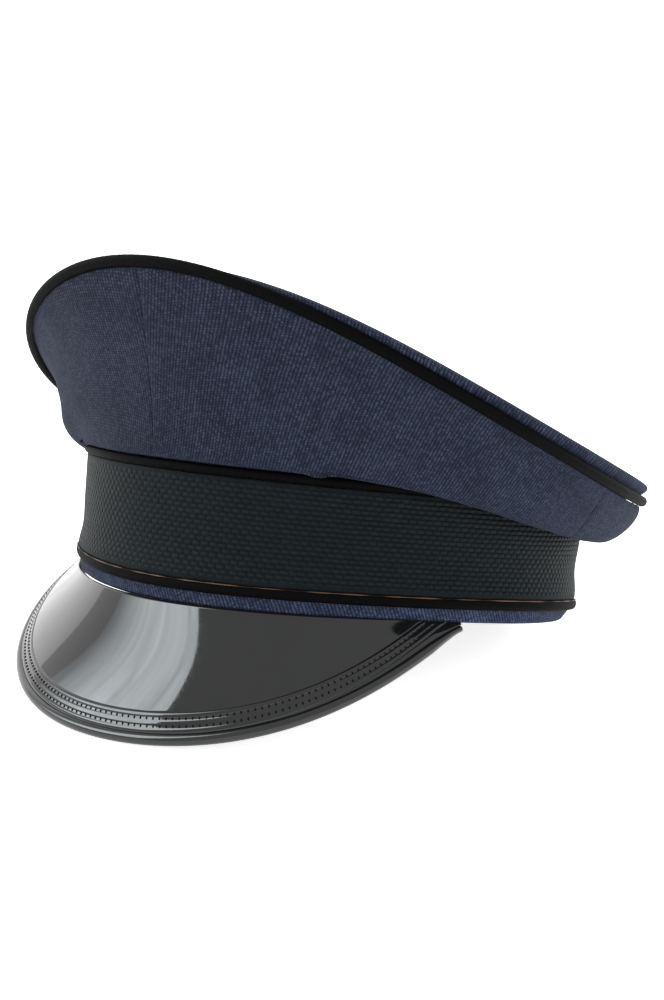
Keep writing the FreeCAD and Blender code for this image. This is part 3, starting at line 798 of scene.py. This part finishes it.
def disc_piece(name, count, outer_s, drop, material, thickness, waves=0.0):
    """Sheet parallel to the crown's top, out to outer_s of the way to the rim."""
    t, s = disc_grid(count)
    s = 1 - (1 - s) ** DISC_CROWDING
    points = top(t, s * outer_s)
    climb = edge_roll(t, s * outer_s)[0]
    below = np.max(climb) * (1 - ((1 + s * np.cos(t)) / 2) ** TOP_FRONT_FLAT) - climb
    flat = points + rim_outward(t) * below[..., None]
    uv = np.stack([flat[..., 0], -flat[..., 1]], axis=-1)
    points[..., 2] -= drop
    points[..., 2] += waves * (np.sin(7 * t + 9 * s) + np.sin(3 * t - 14 * s)) * s * (1 - s ** 6)
    return thicken(grid_mesh(name, points, material, uv=uv), thickness)


def declare(piece, node, slot, **sheet):
    """Hides the CAD node that the piece stands for; the sheet's flat size and how it is held are
    not used.
    """
    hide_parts(node)


FRONT_FLAT = {"flat": (0.203, 0.066), "area": 0.0088}
REAR_FLAT = {"flat": (0.199, 0.043), "area": 0.0074}
CROWN_HELD = {"held": "stretched", "rests_on": ["crown_wire", "band_base_cloth"]}
SIDE_PANELS = (
    ("front_left", 0.0, SIDE_SEAM, cloth_left, FRONT_FLAT),
    ("front_right", -SIDE_SEAM, 0.0, cloth_right, FRONT_FLAT),
    ("rear_left", SIDE_SEAM, 180.0, cloth_left, REAR_FLAT),
    ("rear_right", -180.0, -SIDE_SEAM, cloth_right, REAR_FLAT))

for label, first, last, material, flat_size in SIDE_PANELS:
    panel = crown_panel("crown_" + label + "_cloth", first, last, material)
    declare(panel, "crown_" + label + "_panel", "wool_cloth", **flat_size, **CROWN_HELD)

TOP_WAVES = 0.12
top_share = 1 - (RIM_PIPING_RADIUS + CLEARANCE) / RIM_HALF_WIDTH
crown_top = disc_piece("crown_top_cloth", 150, top_share, 0.0, cloth_top, CLOTH, TOP_WAVES)
declare(crown_top, "crown_top_panel", "wool_cloth", flat=(0.262, 0.245), area=0.0500, **CROWN_HELD)

# ---- pipings

ROUND = angles(0, 360, 721)


def cord_piping(name, node, path, outward, radii, stitches):
    """Covered cord with the slight nips of its stitching."""
    nips = 1 + 0.012 * np.cos(stitches * ROUND) + 0.006 * np.sin(7 * ROUND + 0.6)
    piece = swept(name, path, outward, round_profile(*radii), piping, nips)
    declare(piece, node, "piping")


RIM_NIPS = 260
BAND_NIPS = 210
cord_piping("crown_rim_cord", "crown_rim_piping", rim(ROUND, 0, 0), rim_outward(ROUND),
            (RIM_PIPING_RADIUS, RIM_PIPING_RADIUS), RIM_NIPS)
cord_piping("band_upper_cord", "band_upper_piping", wall(ROUND, BAND_TOP, 0.0), wall_normal(ROUND),
            (UPPER_PIPING_HALF_DEPTH, UPPER_PIPING_RADIUS), BAND_NIPS)
lower_path = wall(ROUND, LOWER_PIPING_HEIGHT + band_edge(ROUND), LOWER_PIPING_OFFSET)
cord_piping("band_lower_cord", "band_lower_piping", lower_path, wall_normal(ROUND),
            (LOWER_PIPING_HALF_DEPTH, LOWER_PIPING_RADIUS), BAND_NIPS)

GIMP_UP = 1.72
GIMP_OUT = 0.42
GIMP_RADIUS = 0.22
gimp_shows = np.sin(31 * ROUND + 1.3 * np.sin(7 * ROUND)) * np.sin(13 * ROUND)
gimp_path = wall(ROUND, LOWER_PIPING_HEIGHT + GIMP_UP + band_edge(ROUND), GIMP_OUT)
gimp = swept("band_lower_cord_stitching", gimp_path, wall_normal(ROUND),
             round_profile(GIMP_RADIUS, GIMP_RADIUS, 8), gold_thread,
             np.clip(0.55 + 0.8 * gimp_shows, 0.1, 1))

# ---- band


def band_piece(name, corners, material, first=0.0, last=360.0, columns=721, ruffle=None):
    """Sheet round the band; corners are (offset, height, whether it is from the lower edge)."""
    t = angles(first, last, columns)
    rows = []
    for offset, z, low in corners:
        rows.append(wall(t, z + band_edge(t) * low, offset + 0 * t))
    points = np.stack(rows, axis=1)
    if ruffle is not None:
        points = points + wall_normal(t)[:, None] * ruffle(t)[:, :, None]
    whole = abs(last - first - 360.0) < 1e-6
    return grid_mesh(name, points, material, closed_u=whole)


def rows_between(start, stop, count):
    """Corners from start to stop, stop left out; both have the same reference."""
    start, stop = np.array(start, float), np.array(stop, float)
    return [tuple(start + (stop - start) * k / count) for k in range(count)]


BRAID_LOW = LOWER_PIPING_HEIGHT + LOWER_PIPING_RADIUS + CLEARANCE
BRAID_HIGH = BAND_TOP - UPPER_PIPING_RADIUS - CLEARANCE
BRAID_WIDTH = BRAID_HIGH - BRAID_LOW
BRAID_SHEET = 1.1
BRAID_EDGE_ROUND = 0.6


def braid_points(t):
    """The braid's outer face and its rounded edges, from the lower edge up."""
    low = BRAID_LOW + band_edge(t)
    near_edge = [0.0, 0.003, 0.01, 0.02]
    share = np.concatenate([near_edge, np.linspace(0.04, 0.96, 30), 1 - np.array(near_edge[::-1])])
    inward = np.minimum(share, 1 - share) * BRAID_WIDTH
    rounding = 1 - np.clip(inward / BRAID_EDGE_ROUND, 0, 1)
    back = BRAID_EDGE_ROUND * (1 - np.sqrt(1 - rounding ** 2))
    rows = [wall(t, low + (BRAID_HIGH - low) * k, -b + 0 * t) for k, b in zip(share, back)]
    return np.stack(rows, axis=1)


braid_grid = braid_points(ROUND)
braid_top = distances(braid_grid, 1)[-1] * MM
braid_material = mohair_braid("mohair_braid", 0.0, braid_top)
braid = grid_mesh("band_braid_cloth", braid_grid, braid_material, closed_u=True)
thicken(braid, BRAID_SHEET)
declare(braid, "band_braid", "mohair_braid", flat=(0.628, 0.038), held="stretched",
        rests_on=["band_base_cloth"])

STRIP_TOP = LOWER_PIPING_HEIGHT - LOWER_PIPING_RADIUS - CLEARANCE
STRIP_TOP_OUTSIDE = -0.75
STRIP_SHEET = 0.5
CLOTH_TOP_DROP = 6
CLOTH_STEP_DROP = 16
CLOTH_STEP_RISE = 8
TURN_UP = 14
FOLD = 0.75
FOLD_STEPS = 8


def base_cloth_corners():
    """From behind the braid, down over the visible strip, round the lower edge and up inside."""
    behind = BASE_CLOTH_OUTSIDE
    inside = STRIP_OUTSIDE - 2 * FOLD
    corners = rows_between((behind, BAND_TOP - CLOTH_TOP_DROP, 0),
                           (behind, BAND_TOP - CLOTH_STEP_DROP, 0), 3)
    corners += rows_between((behind, STRIP_TOP + CLOTH_STEP_RISE, 1), (behind, STRIP_TOP + 1, 1), 4)
    corners += rows_between((STRIP_TOP_OUTSIDE, STRIP_TOP, 1), (STRIP_OUTSIDE, FOLD, 1), 8)
    for a in np.linspace(0, math.pi, FOLD_STEPS + 1):
        corners.append((STRIP_OUTSIDE - FOLD + FOLD * math.cos(a), FOLD - FOLD * math.sin(a), 1))
    return corners + rows_between((inside, FOLD + 1, 1), (inside, TURN_UP, 1), 4)


base_cloth = band_piece("band_strip_cloth", base_cloth_corners(), cloth_strip)
thicken(base_cloth, STRIP_SHEET)
declare(base_cloth, "band_base_cloth", "wool_cloth", flat=(0.625, 0.060), held="stretched",
        rests_on=["band_stiffener"])

# ---- inner parts

SWEAT_ROWS = 24
SWEAT_FOOT = 1.8
LEATHER_FACE = SWEATBAND_OUTSIDE - 0.1
LEATHER_SHEET = 0.9


def leather_ruffle(t):
    """The sweatband stands a little unevenly towards its free upper edge."""
    rows = np.linspace(0, 1, SWEAT_ROWS) ** 2
    wave = -0.35 + 0.25 * np.sin(9 * t) + 0.15 * np.sin(17 * t + 1.2)
    return wave[:, None] * rows[None, :]


sweat_foot, sweat_head = (LEATHER_FACE, SWEAT_FOOT, 1), (LEATHER_FACE, SWEATBAND_HEIGHT, 1)
sweat_corners = rows_between(sweat_foot, sweat_head, SWEAT_ROWS - 1) + [sweat_head]
sweat = band_piece("sweatband_leather", sweat_corners, sweat_leather, ruffle=leather_ruffle)
thicken(sweat, LEATHER_SHEET)
declare(sweat, "sweatband", "sweatband", flat=(0.600, 0.037), held="stretched",
        rests_on=["band_stiffener"])

REED_HEIGHT = 0.7
REED_OFFSET = -5.0
REED_RADIUS = 0.8
reed_path = wall(ROUND, REED_HEIGHT + band_edge(ROUND), REED_OFFSET)
reed = swept("sweatband_piped_edge", reed_path, wall_normal(ROUND),
             round_profile(REED_RADIUS, REED_RADIUS, 14), sweat_leather,
             1 + 0.04 * np.cos(180 * ROUND))
declare(reed, "sweatband_reed", "reed")

TAPE_FACE = SWEATBAND_INSIDE - 0.15
TAPE_LOW = 3.0
TAPE_HIGH = 37.0
TAPE_FIRST = 173.0
TAPE_LAST = 187.0
TAPE_SHEET = 0.5
tape_foot, tape_head = (TAPE_FACE, TAPE_LOW, 1), (TAPE_FACE, TAPE_HIGH, 1)
back_tape = band_piece("sweatband_join_tape", rows_between(tape_foot, tape_head, 20) + [tape_head],
                       tape, TAPE_FIRST, TAPE_LAST, 24)
thicken(back_tape, TAPE_SHEET)
declare(back_tape, "sweatband_back_tape", "tape", flat=(0.024, 0.034), held="laid",
        rests_on=["sweatband"])

PAD_HALF_THICKNESS = 0.38
PAD_EDGE = 4
PAD_TALL = PAD_HIGH - PAD_LOW


def pad_grid(side):
    """Face of the forehead pad, outer for side 1 and inner for -1, thinning to its edges."""
    t = angles(-PAD_HALF_ANGLE, PAD_HALF_ANGLE, 90)[:, None]
    k = np.linspace(0, 1, 24)[None, :]
    edge_t = np.clip((PAD_HALF_ANGLE - np.degrees(np.abs(t))) / PAD_EDGE, 0, 1)
    edge_k = np.clip(np.minimum(k, 1 - k) * PAD_TALL / PAD_EDGE, 0, 1)
    swell = np.sqrt(1 - (1 - edge_t) ** 2) * np.sqrt(1 - (1 - edge_k) ** 2)
    middle = (SWEATBAND_OUTSIDE + STIFFENER_OUTSIDE - STIFFENER) / 2
    offset = middle + side * PAD_HALF_THICKNESS * swell
    return wall(t + 0 * k, PAD_LOW + PAD_TALL * k + band_edge(t), offset)


pad_faces = np.concatenate([pad_grid(1), pad_grid(-1)[:, ::-1]], axis=1)
pad_faces = np.concatenate([pad_faces, pad_faces[:, :1]], axis=1)
pad = grid_mesh("forehead_foam_pad", pad_faces, foam, closed_v=True)
declare(pad, "forehead_pad", "foam")

INTERLINING_HALF_ANGLE = 46.0
INTERLINING_GAP = 0.9
INTERLINING_LOW = 0.10
INTERLINING_HIGH = 0.88
INTERLINING_SHEET = 0.8


def interlining_grid():
    """Felt behind the front of the crown."""
    t = angles(-INTERLINING_HALF_ANGLE, INTERLINING_HALF_ANGLE, 80)[:, None]
    q = np.linspace(INTERLINING_LOW, INTERLINING_HIGH, 40)[None, :]
    points = crown_side(t + 0 * q, q + 0 * t)
    return points - grid_normals(points) * (CLOTH + INTERLINING_GAP)


interlining = grid_mesh("crown_front_felt", interlining_grid(), felt)
thicken(interlining, INTERLINING_SHEET)
declare(interlining, "crown_front_interlining", "foam", flat=(0.190, 0.062), held="stretched",
        rests_on=["crown_wire"], area=0.0082)

LINING_SHEET = 0.4
LINING_WAVES = 0.25
lining_top = disc_piece("crown_lining_top_satin", 90, LINING_SHARE, LINING_DROP, lining,
                        LINING_SHEET, LINING_WAVES)
declare(lining_top, "crown_lining_top", "lining", flat=(0.236, 0.218), held="stretched",
        area=0.0400, rests_on=["crown_lining_side"])
PLEATS = 48
PLEAT_DEPTH = 0.5
LINING_SAG = 0.8
LINING_FOOT_GAP = 0.3
LINING_JOIN_SHARE = 0.005
LINING_JOIN_DROP = 1.0


def lining_side_grid():
    """Lining from the top of the sweatband out and up to the crown, gathered into soft pleats."""
    t = ROUND[:, None]
    k = np.linspace(0, 1, 30)[None, :]
    foot = wall(t + 0 * k, BAND_TOP - LINING_LAP, SWEATBAND_OUTSIDE + LINING_FOOT_GAP)
    head = top(t + 0 * k, LINING_SHARE + LINING_JOIN_SHARE + 0 * k)
    head = head - np.array([0, 0, LINING_DROP + LINING_JOIN_DROP])
    points = foot + (head - foot) * k[..., None]
    sag = LINING_SAG * np.sin(np.pi * k) * (1 + PLEAT_DEPTH * np.sin(PLEATS * t))
    return points - wall_normal(t + 0 * k) * sag[..., None]


lining_side = grid_mesh("crown_lining_side_satin", lining_side_grid(), lining, closed_u=True)
thicken(lining_side, LINING_SHEET)
declare(lining_side, "crown_lining_side", "lining", flat=(0.700, 0.036), held="stretched",
        rests_on=["crown_lining_top", "sweatband"])

SHIELD_GAP = 0.9
SHIELD_SHEET = 0.4
SHIELD_WAVES = 0.1
shield = disc_piece("lining_clear_shield", 60, SHIELD_SHARE, LINING_DROP + SHIELD_GAP, clear,
                    SHIELD_SHEET, SHIELD_WAVES)
declare(shield, "lining_sweat_shield", "clear_sheet", flat=(0.118, 0.108), held="stretched",
        area=0.0100, rests_on=["crown_lining_top"])

# ---- visor

VISOR_COLUMNS = 420
VISOR_SWEEP = 77.0
RIM_BAND = 8.7
PLATE_TUCK = 0.2
CAMBER_PEAK = 27 / 4
RELIEF_FADE = 1.5
RIM_CREASES = ((-0.5, 3.75, 0.28), (0.16, 4.7, 0.45), (-0.45, 10.8, 0.20))
RIM_RIDGES = ((0.12, 6.2, 6.9, 7.6, 8.3), (0.25, 9.2, 9.6, 10.1, 10.6))


def visor_depth(share):
    """How far the visor reaches; share runs from -1 to 1 along its root."""
    return VISOR_DEPTH * (1 - share ** 2) ** VISOR_TAPER * (1 + VISOR_FULLNESS * share ** 2)


def visor_root(share):
    """Line where the visor leaves the band, and its outward direction there."""
    t = np.radians(VISOR_HALF_ANGLE) * share
    return wall(t, band_edge(t) - VISOR_ROOT_DROP, 0 * t), wall_normal(t)


def visor_point(share, s, lift):
    """Points on the visor, s out from its root and lifted off its upper surface."""
    share = share + 0 * s
    droop = np.radians(VISOR_DROOP_CENTRE - VISOR_DROOP_LOSS * share ** 2)
    depth = np.maximum(visor_depth(share), VISOR_LEAST_DEPTH)
    along = np.clip(s / depth, 0, 1)
    camber = CAMBER_PEAK * VISOR_CAMBER * along ** 2 * (1 - along)
    lift = lift + camber * depth / VISOR_DEPTH
    root, outward = visor_root(share)
    out = s * np.cos(droop) + lift * np.sin(droop)
    up = lift * np.cos(droop) - s * np.sin(droop)
    return root + outward * out[..., None] + vector(0, 0, up)


def binding_reach(depth):
    """Distance from the visor's root to the middle of its edge binding."""
    return BINDING_START + depth * (VISOR_DEPTH - VISOR_EDGE_RADIUS - BINDING_START) / VISOR_DEPTH


def binding_radius(depth):
    """The binding thins where the visor tapers out at the temples."""
    return VISOR_EDGE_RADIUS * np.minimum(1.0, BINDING_END_SHARE + depth / BINDING_THINNING)


def plate_end(depth):
    """Where the plate stops, against the edge binding."""
    return binding_reach(depth) - binding_radius(depth) + PLATE_TUCK


def rim_relief(e):
    """Height of the pressed rim, e inwards from the visor's outer edge."""
    height = sum(high * hump(e, centre, width) for high, centre, width in RIM_CREASES)
    for high, rises, level, falls, ends in RIM_RIDGES:
        height = height + high * ease(e, rises, level) * (1 - ease(e, falls, ends))
    return height


SWEEP = angles(-VISOR_SWEEP, VISOR_SWEEP, VISOR_COLUMNS)
SHARE = np.sin(SWEEP)
DEPTH = visor_depth(SHARE)
PLATE_END = plate_end(DEPTH)


def visor_cover_grid():
    """Top of the visor: a smooth plate and its pressed rim."""
    rim_rows = np.linspace(0, RIM_BAND, 90)[None, :]
    plate_rows = np.linspace(0, 1, 40)[None, :-1]
    start = np.maximum(PLATE_END - rim_rows[0, -1], 0.0)[:, None]
    rim_part = np.maximum(PLATE_END[:, None] - rim_rows[:, ::-1], 0.0)
    s = np.concatenate([start * plate_rows, rim_part], axis=1)
    relief = rim_relief(DEPTH[:, None] - s) * ease(s, 0.0, RELIEF_FADE)
    return visor_point(SHARE[:, None], s, relief)


visor_cover = grid_mesh("visor_patent_cover", visor_cover_grid(), patent)
thicken(visor_cover, PATENT)
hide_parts("visor_patent_top", "visor_rim_band")

BINDING_TALL = 1.02
binding_path = visor_point(SHARE, binding_reach(DEPTH), BINDING_MIDDLE + 0 * SHARE)
binding = swept("visor_edge_roll", binding_path, visor_root(SHARE)[1],
                round_profile(1, BINDING_TALL, 32), patent_edge, binding_radius(DEPTH), False)
declare(binding, "visor_edge_binding", "patent")

UNDERLAY_START = 0.8
UNDERLAY_INSET = 0.3
UNDERLAY_GAP = 0.25


def underside_grid():
    """Underside of the visor."""
    k = np.linspace(0, 1, 40)[None, :]
    end = np.maximum(PLATE_END - UNDERLAY_INSET, VISOR_LEAST_DEPTH)[:, None]
    s = UNDERLAY_START + (end - UNDERLAY_START) * k
    drop = -PATENT - VISOR_CORE - UNDERLAY_GAP - UNDERLAY
    return visor_point(SHARE[:, None], s, drop + 0 * s)[:, ::-1]


under = grid_mesh("visor_underside_leather", underside_grid(), underside)
thicken(under, UNDERLAY)
declare(under, "visor_underlay", "visor_lining", flat=(0.250, 0.052), held="stretched",
        area=0.0088, rests_on=["visor_core"])

STITCH_PITCH = 2.3
STITCH_LENGTH = 1.3
STITCH_RADIUS = 0.62
STITCH_SINK = 0.15
OUTER_ROW = 5.9
INNER_ROW = 8.6
ROW_START = 0.4


def visor_stitches(name, e):
    """Stitch row at distance e inwards from the visor's outer edge."""
    s = DEPTH - e
    keep = s > ROW_START
    path = visor_point(SHARE[keep], s[keep], rim_relief(e) + 0 * s[keep])
    lifted = visor_point(SHARE[keep], s[keep], rim_relief(e) + 1 + 0 * s[keep])
    row = thread_row(name, path, unit(lifted - path), visor_thread, STITCH_PITCH, STITCH_LENGTH,
                     STITCH_RADIUS, STITCH_SINK)


visor_stitches("visor_outer_stitching", OUTER_ROW)
visor_stitches("visor_inner_stitching", INNER_ROW)

SEWING_HEIGHT = 4.5
SEWING_PITCH = 3.2
SEWING_RADIUS = 0.22
SEWING_LENGTH = SEWING_PITCH * 0.7
SEWING_OUT = 0.02
sewing_path = wall(ROUND, SEWING_HEIGHT + band_edge(ROUND), SWEATBAND_INSIDE - SEWING_OUT)
thread_row("sweatband_stitching", sewing_path, -wall_normal(ROUND), brown_thread, SEWING_PITCH,
           SEWING_LENGTH, SEWING_RADIUS)

# ---- CAD nodes that stay shown

KEPT = (
    ("crown_front_stay", board),
    ("crown_wire", steel),
    ("crown_wire_ferrule", steel),
    ("stay_wire_loop", steel),
    ("band_stiffener", board),
    ("visor_core", board),
    ("visor_sewing_flange", board))

for node, material in KEPT:
    mesh = frame["nodes"][node].data
    mesh.materials.clear()
    mesh.materials.append(material)

# ---- floor and lights

FLOOR_HALF = 3.0
FLOOR_WIDTH_SHARE = 1.6
BACK_WALL = 2.2
WALL_TOP = 4.0
BEND = 1.2


def bearing(azimuth, elevation):
    """Direction from the cap, with the azimuth measured from the front towards +X."""
    level = np.cos(elevation)
    return np.stack([np.sin(azimuth) * level, -np.cos(azimuth) * level, np.sin(elevation)], axis=-1)


def studio_floor():
    """White paper floor that curves up into a back wall."""
    bend = [(BACK_WALL + BEND * math.sin(a), BEND - BEND * math.cos(a))
            for a in np.linspace(0, math.pi / 2, 24)]
    profile = [(-FLOOR_HALF, 0.0)] + bend + [(BACK_WALL + BEND, WALL_TOP)]
    side = FLOOR_HALF * FLOOR_WIDTH_SHARE
    points = np.array([[(side, y, z), (-side, y, z)] for y, z in profile])
    mesh = sheet_mesh("studio_floor", points, points[..., :2])
    mesh.shade_smooth()
    mesh.materials.append(floor_paper("studio_paper"))
    floor = add_object("studio_floor", mesh)
    floor.rotation_euler.z = CAMERA_AZIMUTH


def soft_light(name, azimuth, elevation, size, power, distance=1.4, in_gloss=False):
    """Soft light facing the cap, shown only in gloss or only in matt light."""
    light = bpy.data.lights.new(name, "AREA")
    light.shape = "RECTANGLE"
    light.size, light.size_y = size
    light.energy = power
    lamp = add_object(name, light)
    direction = Vector(bearing(math.radians(azimuth), math.radians(elevation)))
    lamp.location = Vector(LIGHTS_AIM) + direction * distance
    lamp.rotation_euler = direction.to_track_quat("Z", "Y").to_euler()
    lamp.visible_glossy = in_gloss
    lamp.visible_diffuse = not in_gloss


def curtain_glow(name, bright):
    """Daylight through a hanging curtain: soft folds that fan out, fading to one side."""
    p = Paint(name)
    split = p.node("ShaderNodeSeparateXYZ", {0: p.surface_place()})
    across, down = split.outputs[0], split.outputs[1]
    wander = p.noise(p.surface_place(), 2.2, 3.0)
    folds = p.scaled(wander, 1.6, p.times(across, 2.6))
    fold = p.math("POWER", p.arch(folds), 0.5)
    fine = p.noise(p.joined(p.times(across, 14.0), down), 1.6, 3.0)
    light = p.scaled(fold, 0.22, p.scaled(fine, 0.7, 0.42))
    fade = p.spread(across, 0.0, 0.42, 0.16, 1.0)
    glow = p.times(p.times(light, fade), bright)
    p.set(Base_Color=p.mix(fine, (4, 4, 4), (12, 12, 12)), Roughness=1.0)
    p.set(Emission_Color=(0.90, 0.97, 1.0, 1.0), Emission_Strength=glow)
    return p.material


def glossy_panel(name, corners, material, distance=1.6):
    """Glowing sheet seen only in glossy surfaces.

    corners are pairs of azimuth and elevation: top left, top right, bottom right, bottom left.
    """
    k = np.linspace(0, 1, 24)
    across, down = np.meshgrid(k, k, indexing="ij")
    a, b, c, d = (np.array(corner, float) for corner in corners)
    top_edge = a + (b - a) * across[..., None]
    low_edge = d + (c - d) * across[..., None]
    aimed = np.radians(top_edge + (low_edge - top_edge) * down[..., None])
    points = np.array(LIGHTS_AIM) + bearing(aimed[..., 0], aimed[..., 1]) * distance
    mesh = sheet_mesh(name, points, np.stack([across, down], axis=-1))
    mesh.materials.append(material)
    panel = add_object(name, mesh)
    panel.visible_camera = False
    panel.visible_diffuse = False
    panel.visible_shadow = False


LIGHTS_AIM = (0, 0, 0.08)
CAMERA_AZIMUTH = math.radians(36.10)
CAMERA_ELEVATION = math.radians(14.97)
CAMERA_DISTANCE = 0.6476
LENS = 58.5
AIM_RIGHT = 0.0045
AIM_UP = 0.0354
CURTAIN_CORNERS = ((-53, 62), (-14, 64), (-17, 20), (-80, 8))
CURTAIN_BRIGHTNESS = 10.0

away = Vector(bearing(CAMERA_AZIMUTH, CAMERA_ELEVATION))
view_right = Vector((0, 0, 1)).cross(away).normalized()
view_up = away.cross(view_right)
camera_data = bpy.data.cameras.new("camera")
camera_data.lens = LENS
camera_data.sensor_fit = "AUTO"
camera = add_object("camera", camera_data)
camera.location = HEAD_PLACE + away * CAMERA_DISTANCE
looking = HEAD_PLACE + view_right * AIM_RIGHT + view_up * AIM_UP - camera.location
camera.rotation_euler = looking.to_track_quat("-Z", "Y").to_euler()
bpy.context.scene.camera = camera

studio_floor()
world = bpy.data.worlds.new("studio")
world.use_nodes = True
surroundings = world.node_tree.nodes["Background"].inputs
surroundings["Color"].default_value = (1, 1, 1, 1)
surroundings["Strength"].default_value = 1.0
bpy.context.scene.world = world
bpy.context.scene.view_settings.view_transform = "Standard"
glossy_panel("window_curtain", CURTAIN_CORNERS, curtain_glow("curtain_glow", CURTAIN_BRIGHTNESS))
soft_light("side_card", -82, 14, (1.9, 1.1), 2.2, in_gloss=True)
soft_light("far_card", 150, 25, (1.2, 1.2), 2.6)
soft_light("key", -50, 45, (1.2, 1.2), 1.2)
soft_light("fill", 105, 32, (1.4, 1.2), 12, distance=1.6)
